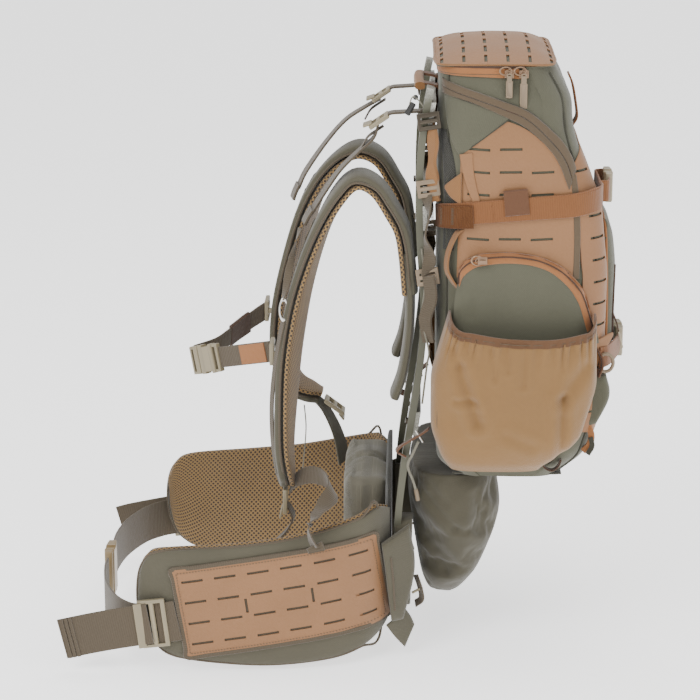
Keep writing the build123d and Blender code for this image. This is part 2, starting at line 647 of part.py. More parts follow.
back_x = belt_line[-1][0]
belt_back_half = belt_root - 1
belt_back = box(back_x - belt_shell / 2, back_x + belt_shell / 2, -belt_back_half, belt_back_half, -110, 58)
sleeve_clear = trace(rail_path, line_width=rail_thickness + 2 * move_gap)
sleeve = box(back_x + belt_shell / 2 + sleeve_front_gap, sleeve_rear, -rail_spacing / 2 - sleeve_half,
             -rail_spacing / 2 + sleeve_half, *sleeve_z)
sleeve_hole = swept(sleeve_clear, Plane.XZ, rail_width + 2 * move_gap)
sleeve = sleeve - Pos(0, -rail_spacing / 2, 0) * sleeve_hole
parts["belt_back"] = Compound(children=[belt_back, sleeve, right_of(sleeve)])

lumbar_view = [(0, -54), (0, 30), (12, 44), (34, 46), (lumbar_depth, 30), (lumbar_depth + 2, -58),
               (10, -60)]
lumbar_plan = [(0, -lumbar_half_width), (lumbar_depth + 2, -lumbar_half_width),
               (lumbar_depth + 2, lumbar_half_width), (0, lumbar_half_width)]
parts["lumbar_pad"] = carve(outline(lumbar_view, 5), outline(lumbar_plan, 12))

# ---- waist strap and buckle -------------------------------------------------------------
waist_side = belt_root + 75
waist_line = [(-238, 1 - waist_side), (-264, 35 - waist_side), (-284, -104), (-buckle_reach, -54)]
waist_left = plan_ribbon(waist_line, webbing_thickness, belt_webbing, waist_height)
waist_pieces = [waist_left, right_of(waist_left)]
for side, shorter in ((LEFT, 0), (RIGHT, waist_tail_shorter)):
    strip = Box(waist_tail_length - shorter, webbing_thickness, belt_webbing)
    tail_at = Pos(waist_tail_at[0] + shorter / 2, side * (waist_side + 2), waist_tail_at[1])
    waist_pieces.append(tail_at * Rot(0, waist_tail_tilt, 0) * strip)
parts["waist_webbing"] = Compound(children=waist_pieces)
waist_lock = ladder_lock(belt_webbing, waist_lock_size)
waist_lock = placed(waist_lock, (waist_lock_x, -waist_side, waist_height + 3), (1, 0, 0), (0, -1, 0))
parts["waist_locks"] = Compound(children=[waist_lock, right_of(waist_lock)])
socket, plug = side_release(belt_webbing, waist_buckle_thickness)
waist_at = (-buckle_reach, waist_middle, waist_height)
parts["waist_buckle_socket"] = placed(socket, waist_at, (0, 1, 0), (-1, 0, 0))
parts["waist_buckle_plug"] = placed(plug, waist_at, (0, 1, 0), (-1, 0, 0))

for name, part in parts.items():
    export_step(part, "parts/" + name + ".step")
print(len(parts), "nodes")
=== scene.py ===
# %% [markdown]
# # A framed hunting pack
# A bag of cloth and laser-cut laminate hangs on two bent rails. Padded straps and a hip belt carry it.
# The CAD model gives every place and every moving body, so this script first loads it as a fixed frame.
# All pieces are then made round it in metres, and each rides on the body that it belongs to.

# %% Load the frame
import math

import bpy
from mathutils import Matrix, Vector, noise


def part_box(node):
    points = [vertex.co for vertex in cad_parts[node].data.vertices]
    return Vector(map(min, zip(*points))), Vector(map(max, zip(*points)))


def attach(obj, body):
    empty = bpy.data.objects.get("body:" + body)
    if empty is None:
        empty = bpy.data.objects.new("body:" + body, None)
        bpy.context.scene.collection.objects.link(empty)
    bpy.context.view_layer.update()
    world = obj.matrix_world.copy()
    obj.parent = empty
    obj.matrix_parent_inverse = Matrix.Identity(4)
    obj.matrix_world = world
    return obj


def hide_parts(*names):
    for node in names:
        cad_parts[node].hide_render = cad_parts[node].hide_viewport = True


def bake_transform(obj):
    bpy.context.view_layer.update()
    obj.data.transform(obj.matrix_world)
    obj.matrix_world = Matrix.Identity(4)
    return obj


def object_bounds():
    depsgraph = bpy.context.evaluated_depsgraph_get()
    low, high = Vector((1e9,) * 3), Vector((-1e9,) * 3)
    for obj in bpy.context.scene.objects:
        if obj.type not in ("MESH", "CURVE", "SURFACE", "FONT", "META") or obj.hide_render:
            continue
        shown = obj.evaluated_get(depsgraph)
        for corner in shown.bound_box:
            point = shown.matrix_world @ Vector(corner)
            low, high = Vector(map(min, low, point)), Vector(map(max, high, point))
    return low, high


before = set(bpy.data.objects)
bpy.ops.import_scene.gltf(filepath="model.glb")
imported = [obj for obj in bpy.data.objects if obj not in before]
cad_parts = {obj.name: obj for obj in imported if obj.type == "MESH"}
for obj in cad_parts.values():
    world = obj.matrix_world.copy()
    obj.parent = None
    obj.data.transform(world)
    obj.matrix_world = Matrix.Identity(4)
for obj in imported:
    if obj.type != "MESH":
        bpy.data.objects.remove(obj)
cad_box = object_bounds()
MM = 0.001
LEFT, RIGHT = -1, 1
SIDES = ((LEFT, "left"), (RIGHT, "right"))

# %% [markdown]
# ## Working habits
# An operator acts on all that is selected, so everything is put down before a new piece is begun.
# A modifier is added and applied at once, so the finished mesh holds its own shape.

# %% Pick up, put down and apply
def put_down():
    """Leave edit mode and deselect everything."""
    if bpy.context.object and bpy.context.object.mode != "OBJECT":
        bpy.ops.object.mode_set(mode="OBJECT")
    bpy.ops.object.select_all(action="DESELECT")


def pick_up(*pieces):
    """Select the pieces alone; the first is active."""
    put_down()
    for piece in pieces:
        piece.select_set(True)
    bpy.context.view_layer.objects.active = pieces[0]


def modify(piece, kind, **settings):
    """Add one modifier and apply it."""
    pick_up(piece)
    step = piece.modifiers.new(kind.lower(), kind)
    for name, value in settings.items():
        setattr(step, name, value)
    bpy.ops.object.modifier_apply(modifier=step.name)


def close_up(piece, ends=True):
    """Weld the seam, fill the open ends and turn the faces outwards."""
    pick_up(piece)
    bpy.ops.object.mode_set(mode="EDIT")
    bpy.ops.mesh.select_all(action="SELECT")
    bpy.ops.mesh.remove_doubles(threshold=0.00002)
    if ends:
        bpy.ops.mesh.select_all(action="SELECT")
        bpy.ops.mesh.fill_holes(sides=0)
    bpy.ops.mesh.select_all(action="SELECT")
    bpy.ops.mesh.normals_make_consistent(inside=False)
    bpy.ops.object.mode_set(mode="OBJECT")


made = {}


def done(piece, material, nodes=(), body="root", slot=None, smooth=40, fill=None):
    """Give the piece its finish, its body and the CAD nodes that it stands for."""
    pick_up(piece)
    bpy.ops.object.transform_apply(location=True, rotation=True, scale=True)
    piece.data.materials.clear()
    piece.data.materials.append(material)
    bpy.ops.object.shade_smooth_by_angle(angle=math.radians(smooth))
    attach(piece, body)
    slot or USUAL_SLOT[material.name]
    if nodes:
        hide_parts(*nodes)
    made[piece.name] = len(piece.data.polygons)
    return piece


def crisp(piece, material, nodes=(), **details):
    """Finish webbing or a hard piece, whose edges stay sharper."""
    return done(piece, material, nodes, smooth=35, **details)


def at(place):
    """A move to a place in millimetres."""
    return Matrix.Translation(Vector(place) * MM)


def turned(degrees, axis):
    return Matrix.Rotation(math.radians(degrees), 4, axis)


# %% [markdown]
# ## Cloth from a grid
# Sewn panels, straps and piping are long sheets that follow a line or a curved body. A grid primitive has
# the right even mesh, so its corners are moved to places worked out along the sheet. Its UV map is then
# measured in metres, so that a weave keeps its real size on every piece.

# %% Smooth lines and grids
def smooth_line(points, steps, closed=False):
    """Places evenly spaced on a smooth line through the points."""
    known = [Vector(p) for p in points]
    if closed:
        known = [known[-1]] + known + known[:2]
    else:
        known = [2 * known[0] - known[1]] + known + [2 * known[-1] - known[-2]]
    fine = []
    for a, b, c, d in zip(known, known[1:], known[2:], known[3:]):
        for k in range(10):
            t = k / 10
            cubic = (3 * b - a - 3 * c + d) * t ** 3
            fine.append(0.5 * (2 * b + (c - a) * t + (2 * a - 5 * b + 4 * c - d) * t * t + cubic))
    fine.append(known[-2])
    far = [0.0]
    for a, b in zip(fine, fine[1:]):
        far.append(far[-1] + (b - a).length)
    line, k = [], 0
    for step in range(steps + 1):
        want = far[-1] * step / steps
        while k < len(far) - 2 and far[k + 1] < want:
            k += 1
        part = (want - far[k]) / max(1e-9, far[k + 1] - far[k])
        line.append(fine[k].lerp(fine[k + 1], min(1.0, part)))
    return line


def grid(name, rows):
    """A grid whose corners stand at the rows' places in millimetres."""
    put_down()
    across, along = len(rows[0]) - 1, len(rows) - 1
    bpy.ops.mesh.primitive_grid_add(x_subdivisions=across, y_subdivisions=along, size=1)
    piece = bpy.context.object
    piece.name = piece.data.name = name
    mesh = piece.data
    spots = [(round((v.co.x + 0.5) * across), round((v.co.y + 0.5) * along)) for v in mesh.vertices]
    wide, tall = [0.0], [0.0]
    for i in range(across):
        wide.append(wide[-1] + sum((row[i + 1] - row[i]).length for row in rows) / len(rows) * MM)
    for low, high in zip(rows, rows[1:]):
        tall.append(tall[-1] + sum((b - a).length for a, b in zip(low, high)) / len(low) * MM)
    for vertex, (i, j) in zip(mesh.vertices, spots):
        vertex.co = rows[j][i] * MM
    layer = mesh.uv_layers[0].data
    for loop in mesh.loops:
        i, j = spots[loop.vertex_index]
        layer[loop.index].uv = (wide[i], tall[j])
    return piece


def frames_along(line, side, twist=None):
    """For each place: the place, the width direction and the outward direction."""
    found = []
    for k, place in enumerate(line):
        run = (line[min(k + 1, len(line) - 1)] - line[max(k - 1, 0)]).normalized()
        across = Vector(side(k / (len(line) - 1))) if callable(side) else Vector(side)
        across = (across - across.dot(run) * run).normalized()
        out = across.cross(run).normalized()
        if twist:
            turn = Matrix.Rotation(math.radians(twist(k / (len(line) - 1))), 3, run)
            across, out = turn @ across, turn @ out
        found.append((place, across, out))
    return found


def sweep(name, stations, section):
    """Carry a closed section along the stations; section(t) gives (across, out) pairs."""
    rows = []
    for k, (place, across, out) in enumerate(stations):
        loop = section(k / (len(stations) - 1))
        rows.append([place + across * a + out * b for a, b in loop + loop[:1]])
    piece = grid(name, rows)
    close_up(piece)
    return piece


def flat_section(width, thick, across=4):
    """Webbing: flat faces and rounded edges."""
    edge = thick * 0.3
    half = width / 2 - edge
    spots = [-half + 2 * half * k / across for k in range(across + 1)]
    top = [(a, thick / 2) for a in spots]
    low = [(a, -thick / 2) for a in reversed(spots)]
    return top + [(width / 2, 0)] + low + [(-width / 2, 0)]


def pad_section(width, out, back, across=10, rim=0.35):
    """A pad: crowned outside, nearly flat inside, drawn in at its edges."""
    spots = [math.sin(math.pi / 2 * (2 * k / across - 1)) for k in range(across + 1)]
    lift = [rim + (1 - rim) * (1 - abs(s) ** 3) ** 0.6 for s in spots]
    top = [(s * width / 2, out * h) for s, h in zip(spots, lift)]
    low = [(s * width / 2, -back * h) for s, h in zip(reversed(spots), reversed(lift))]
    return top + low


def strap(name, points, width, thick, side, steps=40, ends=None, twist=None):
    """A length of webbing along a smooth line."""
    stations = frames_along(smooth_line(points, steps), side, twist)
    return sweep(name, stations, lambda t: flat_section(width * (ends(t) if ends else 1), thick))


def tube(name, points, radius, steps=60, sides=8, closed=False):
    """Piping, cord or a drawn wire."""
    line = smooth_line(points, steps, closed)
    stations = frames_along(line, (0.31, 0.87, 0.38))
    if closed:
        stations = frames_along(line + line[:1] if (line[0] - line[-1]).length > 0.01 else line,
                                (0.3, 0.9, 0.35))
    ring = [(radius * math.cos(math.tau * k / sides), radius * math.sin(math.tau * k / sides))
            for k in range(sides)]
    return sweep(name, stations, lambda t: ring)


def between(t, points):
    """A value at t from (t, value) pairs, with eased steps."""
    for (a, low), (b, high) in zip(points, points[1:]):
        if t <= b:
            part = max(0.0, (t - a) / max(1e-9, b - a))
            return low + (high - low) * part * part * (3 - 2 * part)
    return points[-1][1]


def lean(points, t):
    """A value at t on straight runs between (t, value) pairs, with its corners softened."""
    total = 0.0
    for shift in (-8, -4, 0, 4, 8):
        at = min(max(t + shift, points[0][0]), points[-1][0])
        for (a, low), (b, high) in zip(points, points[1:]):
            if at <= b:
                total += low + (high - low) * (at - a) / (b - a)
                break
    return total / 5


def plate(name, low, high, lay, thick, columns=40, rows=12, rim=0.25, crown=None):
    """A closed flat or padded piece between two lines of plan points, laid on a body.

    lay((a, b), out) gives the place; thick is the full height; crown(u, v) scales it.
    """
    bottom, top = smooth_line([(*p, 0) for p in low], columns), smooth_line([(*p, 0) for p in high], columns)
    lines = []
    for k in range(columns + 1):
        u = k / columns
        ends = (1 - abs(2 * u - 1) ** 12) ** 0.5
        row = []
        for j in range(rows + 1):
            v = j / rows
            spread = 0.5 - 0.5 * math.cos(math.pi * v)
            point = bottom[k].lerp(top[k], spread)
            rise = rim + (1 - rim) * (1 - abs(2 * spread - 1) ** 8) ** 0.5 * ends
            row.append((point, thick * rise * (crown(u, spread) if crown else 1)))
        outer = [lay((p.x, p.y), h) for p, h in row]
        inner = [lay((p.x, p.y), 0) for p, h in reversed(row)]
        lines.append(outer + inner + outer[:1])
    piece = grid(name, lines)
    close_up(piece)
    return piece


# %% [markdown]
# ## Hard pieces from blocks
# Buckles and sliders are mouldings: a block with rounded edges, windows cut through it and bars across.
# A cube is added at its size, its edges are bevelled, and windows are cut with a Boolean of plain blocks.
# Each is shaped lying flat at the origin and then moved to its place, which is written into its mesh.

# %% Blocks, windows and placing
def block(name, low, high, bevel=0.8, segments=3):
    """A rounded block between two corners, in millimetres."""
    put_down()
    middle = (Vector(low) + Vector(high)) / 2 * MM
    bpy.ops.mesh.primitive_cube_add(size=1, location=middle)
    piece = bpy.context.object
    piece.name = piece.data.name = name
    piece.scale = (Vector(high) - Vector(low)) * MM
    bpy.ops.object.transform_apply(location=True, rotation=True, scale=True)
    if bevel:
        bpy.ops.object.mode_set(mode="EDIT")
        bpy.ops.mesh.select_all(action="SELECT")
        bpy.ops.mesh.bevel(offset=bevel * MM, segments=segments, profile=0.6, affect="EDGES")
        bpy.ops.object.mode_set(mode="OBJECT")
    return piece


def rod(name, start, end, radius, sides=16, bevel=0.0):
    """A round bar between two places."""
    put_down()
    a, b = Vector(start) * MM, Vector(end) * MM
    bpy.ops.mesh.primitive_cylinder_add(vertices=sides, radius=radius * MM, depth=(b - a).length)
    piece = bpy.context.object
    piece.name = piece.data.name = name
    if bevel:
        bpy.ops.object.mode_set(mode="EDIT")
        bpy.ops.mesh.select_all(action="SELECT")
        bpy.ops.mesh.bevel(offset=bevel * MM, segments=2, affect="EDGES")
        bpy.ops.object.mode_set(mode="OBJECT")
    turn = (b - a).to_track_quat("Z", "Y").to_matrix().to_4x4()
    piece.matrix_world = Matrix.Translation((a + b) / 2) @ turn
    bpy.ops.object.transform_apply(location=True, rotation=True, scale=True)
    return piece


def ring_of(name, centre, normal, radius, wire, stretch=1.0):
    """A closed wire ring from a torus."""
    put_down()
    bpy.ops.mesh.primitive_torus_add(major_radius=radius * MM, minor_radius=wire * MM, major_segments=28,
                                     minor_segments=8)
    piece = bpy.context.object
    piece.name = piece.data.name = name
    turn = Vector(normal).to_track_quat("Z", "Y").to_matrix().to_4x4()
    piece.matrix_world = at(centre) @ turn @ Matrix.Diagonal((stretch, 1, 1, 1))
    bpy.ops.object.transform_apply(location=True, rotation=True, scale=True)
    return piece


def joined(name, *pieces):
    """Make one piece of several."""
    pick_up(*pieces)
    bpy.ops.object.join()
    pieces[0].name = pieces[0].data.name = name
    return pieces[0]


def cut(piece, *cutters):
    """Cut the cutters' shapes out of the piece and throw the cutters away."""
    tool = joined("tool", *cutters) if len(cutters) > 1 else cutters[0]
    modify(piece, "BOOLEAN", operation="DIFFERENCE", object=tool, solver="EXACT")
    bpy.data.objects.remove(tool)
    return piece


def settle(piece, origin, along, normal):
    """Move a piece made flat at the origin: its X runs along, its Z points along the normal."""
    x = Vector(along).normalized()
    z = (Vector(normal) - Vector(normal).dot(x) * x).normalized()
    y = z.cross(x)
    turn = Matrix((x, y, z)).transposed().to_4x4()
    pick_up(piece)
    piece.matrix_world = at(origin) @ turn
    bpy.ops.object.transform_apply(location=True, rotation=True, scale=True)
    return piece


# %% [markdown]
# ## Finishes
# Woven cloth, webbing and open mesh all need a pattern at thread size, and everything outdoors gathers a
# little uneven colour. Those effects are shader groups, built once and used with other values in each
# material. A group gives only heights and masks; the Principled shader stays in the material itself.

# %% Colours and group helpers
def srgb(red, green, blue):
    """A display colour from 0 to 255 as the shader's linear colour."""
    return (*[(c / 255 / 12.92) if c < 11 else ((c / 255 + 0.055) / 1.055) ** 2.4 for c in (red, green,
            blue)], 1.0)


def new_group(name, inputs, outputs):
    """An empty shader group with named number or vector sockets."""
    group = bpy.data.node_groups.new(name, "ShaderNodeTree")
    for label, kind, value in inputs:
        socket = group.interface.new_socket(label, in_out="INPUT", socket_type="NodeSocket" + kind)
        if value is not None:
            socket.default_value = value
    for label in outputs:
        group.interface.new_socket(label, in_out="OUTPUT", socket_type="NodeSocketFloat")
    return group, group.nodes.new("NodeGroupInput"), group.nodes.new("NodeGroupOutput")


def math_node(tree, kind, a, b=None, c=None):
    """One Math node; numbers are typed in and sockets are linked."""
    node = tree.nodes.new("ShaderNodeMath")
    node.operation = kind
    for socket, value in zip(node.inputs, (a, b, c)):
        if value is None:
            continue
        if isinstance(value, (int, float)):
            socket.default_value = value
        else:
            tree.links.new(value, socket)
    return node.outputs[0]


# %% The weave, rib, net and mottle groups
def build_weave():
    """Plain weave: over and under at the given pitch along both threads."""
    group, given, out = new_group("weave", (("Vector", "Vector", None), ("Pitch", "Float", 0.001)),
                                  ("Height",))
    parts = group.nodes.new("ShaderNodeSeparateXYZ")
    group.links.new(given.outputs["Vector"], parts.inputs[0])
    turns = math_node(group, "DIVIDE", math.pi, given.outputs["Pitch"])
    waves = [math_node(group, "SINE", math_node(group, "MULTIPLY", parts.outputs[k], turns)) for k in (0, 1)]
    height = math_node(group, "MULTIPLY_ADD", math_node(group, "MULTIPLY", *waves), 0.5, 0.5)
    group.links.new(height, out.inputs["Height"])
    return group


def build_rib():
    """Webbing: ribs across the strap and a finer weave between them."""
    group, given, out = new_group("rib", (("Vector", "Vector", None), ("Pitch", "Float", 0.002)), ("Height",))
    parts = group.nodes.new("ShaderNodeSeparateXYZ")
    group.links.new(given.outputs["Vector"], parts.inputs[0])
    turns = math_node(group, "DIVIDE", math.tau, given.outputs["Pitch"])
    ribs = math_node(group, "SINE", math_node(group, "MULTIPLY", parts.outputs[1], turns))
    fine = math_node(group, "SINE", math_node(group, "MULTIPLY", parts.outputs[0],
                                              math_node(group, "MULTIPLY", turns, 1.6)))
    both = math_node(group, "MULTIPLY_ADD", fine, 0.35, ribs)
    group.links.new(math_node(group, "MULTIPLY_ADD", both, 0.36, 0.5), out.inputs["Height"])
    return group


def build_net():
    """Open mesh: staggered holes between strands."""
    group, given, out = new_group("net", (("Vector", "Vector", None), ("Pitch", "Float", 0.005)), ("Strand",))
    parts = group.nodes.new("ShaderNodeSeparateXYZ")
    group.links.new(given.outputs["Vector"], parts.inputs[0])
    turns = math_node(group, "DIVIDE", math.pi, given.outputs["Pitch"])
    total = math_node(group, "ADD", parts.outputs[0], parts.outputs[1])
    gap = math_node(group, "SUBTRACT", parts.outputs[0], parts.outputs[1])
    waves = [math_node(group, "SINE", math_node(group, "MULTIPLY", value, turns)) for value in (total, gap)]
    hole = math_node(group, "ABSOLUTE", math_node(group, "MULTIPLY", *waves))
    edge = group.nodes.new("ShaderNodeMapRange")
    edge.interpolation_type = "SMOOTHSTEP"
    for label, value in (("From Min", 0.38), ("From Max", 0.62), ("To Min", 1.0), ("To Max", 0.0)):
        edge.inputs[label].default_value = value
    group.links.new(hole, edge.inputs["Value"])
    group.links.new(edge.outputs["Result"], out.inputs["Strand"])
    return group


def build_mottle():
    """Uneven dye and dust: broad clouds with a finer grain over them."""
    group, given, out = new_group("mottle", (("Vector", "Vector", None), ("Size", "Float", 14.0)),
                                  ("Cloud", "Grain"))
    for label, factor, detail in (("Cloud", 1.0, 3.0), ("Grain", 22.0, 4.0)):
        cloud = group.nodes.new("ShaderNodeTexNoise")
        cloud.inputs["Detail"].default_value = detail
        group.links.new(given.outputs["Vector"], cloud.inputs["Vector"])
        group.links.new(math_node(group, "MULTIPLY", given.outputs["Size"], factor), cloud.inputs["Scale"])
        group.links.new(cloud.outputs["Fac"], out.inputs[label])
    return group


GROUPS = {"weave": build_weave(), "rib": build_rib(), "net": build_net(), "mottle": build_mottle()}
print("shader groups:", ", ".join(GROUPS))

# %% [markdown]
# Cloth finishes share one recipe: a dull, slightly furry surface, a base colour that wanders between a
# darker and a lighter tone, and a bump from its threads. The thread pattern reads the UV map, because it
# follows the cloth round corners; the clouds read object coordinates, so they run on over the seams.

# %% Cloth recipe
def placed_group(tree, name, vector, **values):
    node = tree.nodes.new("ShaderNodeGroup")
    node.node_tree = GROUPS[name]
    tree.links.new(vector, node.inputs["Vector"])
    for label, value in values.items():
        node.inputs[label].default_value = value
    return node


def mix_colours(tree, factor, first, second):
    node = tree.nodes.new("ShaderNodeMix")
    node.data_type = "RGBA"
    for socket, value in ((node.inputs[0], factor), (node.inputs[6], first), (node.inputs[7], second)):
        if isinstance(value, (tuple, list, float, int)):
            socket.default_value = value
        else:
            tree.links.new(value, socket)
    return node.outputs[2]


def shaded(colour, factor):
    return (*[min(1.0, c * factor) for c in colour[:3]], 1.0)


def base_material(name, roughness, **sockets):
    material = bpy.data.materials.new(name)
    material.use_nodes = True
    tree = material.node_tree
    shader = next(node for node in tree.nodes if node.type == "BSDF_PRINCIPLED")
    shader.inputs["Roughness"].default_value = roughness
    for label, value in sockets.items():
        shader.inputs[label.replace("_", " ")].default_value = value
    where = tree.nodes.new("ShaderNodeTexCoord")
    return material, tree, shader, where


def bump_from(tree, shader, height, distance, strength=1.0, under=None):
    node = tree.nodes.new("ShaderNodeBump")
    node.inputs["Distance"].default_value = distance
    node.inputs["Strength"].default_value = strength
    tree.links.new(height, node.inputs["Height"])
    if under is not None:
        tree.links.new(under, node.inputs["Normal"])
    tree.links.new(node.outputs[0], shader.inputs["Normal"])
    return node.outputs[0]


def cloth(name, colour, pattern="weave", pitch=0.0011, depth=0.00025, vary=0.22, roughness=0.88, sheen=0.25,
          gap_shade=0.3):
    """A woven finish: pattern is the shader group that gives its threads."""
    material, tree, shader, where = base_material(name, roughness, Sheen_Weight=sheen, Sheen_Roughness=0.5)
    shader.inputs["Specular IOR Level"].default_value = 0.25
    threads = placed_group(tree, pattern, where.outputs["UV"], Pitch=pitch)
    clouds = placed_group(tree, "mottle", where.outputs["Object"], Size=11.0)
    tone = mix_colours(tree, clouds.outputs["Cloud"], shaded(colour, 1 - vary), shaded(colour, 1 + vary))
    tone = mix_colours(tree, math_node(tree, "MULTIPLY", clouds.outputs["Grain"], 0.35), tone,
                       shaded(colour, 0.78))
    # The hollows between threads, and the holes of an open net, are darkened towards half the colour: painted
    # shade.
    low = math_node(tree, "MULTIPLY", math_node(tree, "SUBTRACT", 1.0, threads.outputs[0]), gap_shade)
    tone = mix_colours(tree, low, tone, shaded(colour, 0.5))
    tree.links.new(tone, shader.inputs["Base Color"])
    soft = bump_from(tree, shader, clouds.outputs["Grain"], 0.0012, 0.35)
    bump_from(tree, shader, threads.outputs[0], depth, 0.8, soft)
    return material


# %% Cloth finishes
green = cloth("green_pack_cloth", srgb(87, 86, 71))
green_dark = cloth("shaded_green_cloth", srgb(62, 61, 50))
khaki = cloth("khaki_pocket_cloth", srgb(132, 100, 62), vary=0.14)
tan_cloth = cloth("tan_binding_cloth", srgb(134, 95, 59))
zip_cloth = cloth("orange_tan_zip_tape", srgb(152, 101, 62), "rib", 0.0016, 0.0002, vary=0.12)
flap_cloth = cloth("grey_brown_zip_flap", srgb(91, 77, 60), "rib", 0.0013, 0.0002, vary=0.1)
sack_cloth = cloth("dark_sack_cloth", srgb(74, 70, 57), vary=0.25)
pad_cloth = cloth("grey_pad_cloth", srgb(118, 114, 100), pitch=0.0014)
strap_cloth = cloth("shoulder_strap_cloth", srgb(83, 79, 65))
elastic = cloth("brown_elastic", srgb(97, 68, 45), "rib", 0.0014, 0.0003, vary=0.08)
webbing = cloth("orange_brown_webbing", srgb(124, 80, 47), "rib", 0.0026, 0.0004, vary=0.12, gap_shade=0.34)
keeper_web = cloth("brown_keeper_webbing", srgb(98, 66, 45), "rib", 0.0014, 0.0003, vary=0.1)
belt_web = cloth("grey_tan_webbing", srgb(84, 74, 60), "rib", 0.0026, 0.0004, vary=0.1)
dark_web = cloth("dark_brown_webbing", srgb(72, 51, 38), "rib", 0.0022, 0.0003, vary=0.1)
spacer = cloth("dark_spacer_mesh", srgb(50, 49, 43), "net", 0.0032, 0.0005, gap_shade=0.7)
thread = cloth("sewing_thread", srgb(96, 80, 62), pitch=0.0006, depth=0.0001, vary=0.05)
print("cloth finishes:", len(bpy.data.materials))

# %% [markdown]
# Laminate is a film bonded on thin cloth: flatter than weave, a little leathery, with a faint print of the
# threads below. The gold mesh has real depth, shown only by its holes painted dark as painted shade. Moulded
# plastic has a fine spark-eroded grain and a painted highlight on its sharp edges, and painted rails show
# bright metal only where the paint has rubbed, on their edges.

# %% Laminate, mesh, plastic, paint and metal
def laminate_finish(name, colour):
    material, tree, shader, where = base_material(name, 0.62, Sheen_Weight=0.08)
    clouds = placed_group(tree, "mottle", where.outputs["Object"], Size=16.0)
    threads = placed_group(tree, "weave", where.outputs["UV"], Pitch=0.0016)
    tone = mix_colours(tree, clouds.outputs["Cloud"], shaded(colour, 0.84), shaded(colour, 1.14))
    tone = mix_colours(tree, math_node(tree, "MULTIPLY", clouds.outputs["Grain"], 0.22), tone,
                       shaded(colour, 0.7))
    tree.links.new(tone, shader.inputs["Base Color"])
    rough = math_node(tree, "MULTIPLY_ADD", clouds.outputs["Grain"], 0.25, 0.48)
    tree.links.new(rough, shader.inputs["Roughness"])
    soft = bump_from(tree, shader, clouds.outputs["Grain"], 0.0006, 0.5)
    bump_from(tree, shader, threads.outputs[0], 0.00012, 0.5, soft)
    return material


def mesh_finish(name, strand, hole, pitch):
    material, tree, shader, where = base_material(name, 0.72, Sheen_Weight=0.15)
    net = placed_group(tree, "net", where.outputs["UV"], Pitch=pitch)
    clouds = placed_group(tree, "mottle", where.outputs["Object"], Size=20.0)
    tone = mix_colours(tree, clouds.outputs["Cloud"], shaded(strand, 0.8), shaded(strand, 1.2))
    # The holes get a dark colour of their own: painted shade inside the mesh, which is a flat sheet.
    tone = mix_colours(tree, net.outputs[0], hole, tone)
    tree.links.new(tone, shader.inputs["Base Color"])
    bump_from(tree, shader, net.outputs[0], 0.0012, 1.0)
    return material


def moulded(name, colour, roughness=0.42, metallic=0.0, grain=0.00012):
    material, tree, shader, where = base_material(name, roughness, Metallic=metallic)
    clouds = placed_group(tree, "mottle", where.outputs["Object"], Size=60.0)
    edges = tree.nodes.new("ShaderNodeNewGeometry")
    # Sharp edges are lightened by pointiness: a painted highlight along the edges.
    edge_highlight = math_node(tree, "MULTIPLY_ADD", edges.outputs["Pointiness"], 9.0, -4.65)
    edge_highlight = math_node(tree, "MINIMUM", math_node(tree, "MAXIMUM", edge_highlight, 0.0), 0.5)
    tone = mix_colours(tree, clouds.outputs["Cloud"], shaded(colour, 0.88), shaded(colour, 1.1))
    tone = mix_colours(tree, edge_highlight, tone, shaded(colour, 1.6))
    tree.links.new(tone, shader.inputs["Base Color"])
    rough = math_node(tree, "MULTIPLY_ADD", clouds.outputs["Grain"], 0.22, roughness - 0.1)
    tree.links.new(rough, shader.inputs["Roughness"])
    bump_from(tree, shader, clouds.outputs["Grain"], grain, 0.6)
    return material


def painted(name, colour, bare):
    material, tree, shader, where = base_material(name, 0.5)
    clouds = placed_group(tree, "mottle", where.outputs["Object"], Size=38.0)
    edges = tree.nodes.new("ShaderNodeNewGeometry")
    rub = math_node(tree, "MULTIPLY_ADD", edges.outputs["Pointiness"], 12.0, -7.0)
    rub = math_node(tree, "MULTIPLY", rub, math_node(tree, "MULTIPLY_ADD", clouds.outputs["Grain"], 2.4,
            -0.5))
    rub = math_node(tree, "MINIMUM", math_node(tree, "MAXIMUM", rub, 0.0), 1.0)
    tone = mix_colours(tree, clouds.outputs["Cloud"], shaded(colour, 0.85), shaded(colour, 1.12))
    tree.links.new(mix_colours(tree, rub, tone, bare), shader.inputs["Base Color"])
    tree.links.new(rub, shader.inputs["Metallic"])
    rough = math_node(tree, "MULTIPLY_ADD", clouds.outputs["Grain"], 0.25, 0.38)
    tree.links.new(rough, shader.inputs["Roughness"])
    bump_from(tree, shader, clouds.outputs["Grain"], 0.00015, 0.5)
    return material


laminate = laminate_finish("tan_laminate", srgb(134, 94, 58))
laminate_rear = laminate_finish("rear_tan_laminate", srgb(134, 93, 57))
gold_mesh = mesh_finish("gold_open_mesh", srgb(130, 101, 57), srgb(40, 27, 14), 0.0058)
plastic = moulded("tan_moulded_plastic", srgb(127, 117, 94))
plastic_pale = moulded("pale_moulded_plastic", srgb(145, 135, 114))
pull_plastic = moulded("pull_tab_plastic", srgb(116, 100, 80), 0.5)
plastic_gloss = moulded("glossy_tan_plastic", srgb(124, 106, 76), 0.3)
plastic_black = moulded("black_plastic", srgb(34, 33, 31))
dark_metal = moulded("darkened_steel", srgb(72, 66, 58), 0.35, 1.0)
bright_metal = moulded("bright_steel", srgb(190, 188, 182), 0.28, 1.0)
ring_metal = moulded("bronzed_ring", srgb(128, 104, 84), 0.38, 0.8)
rail_paint = painted("olive_rail_paint", srgb(81, 80, 64), srgb(190, 188, 180))
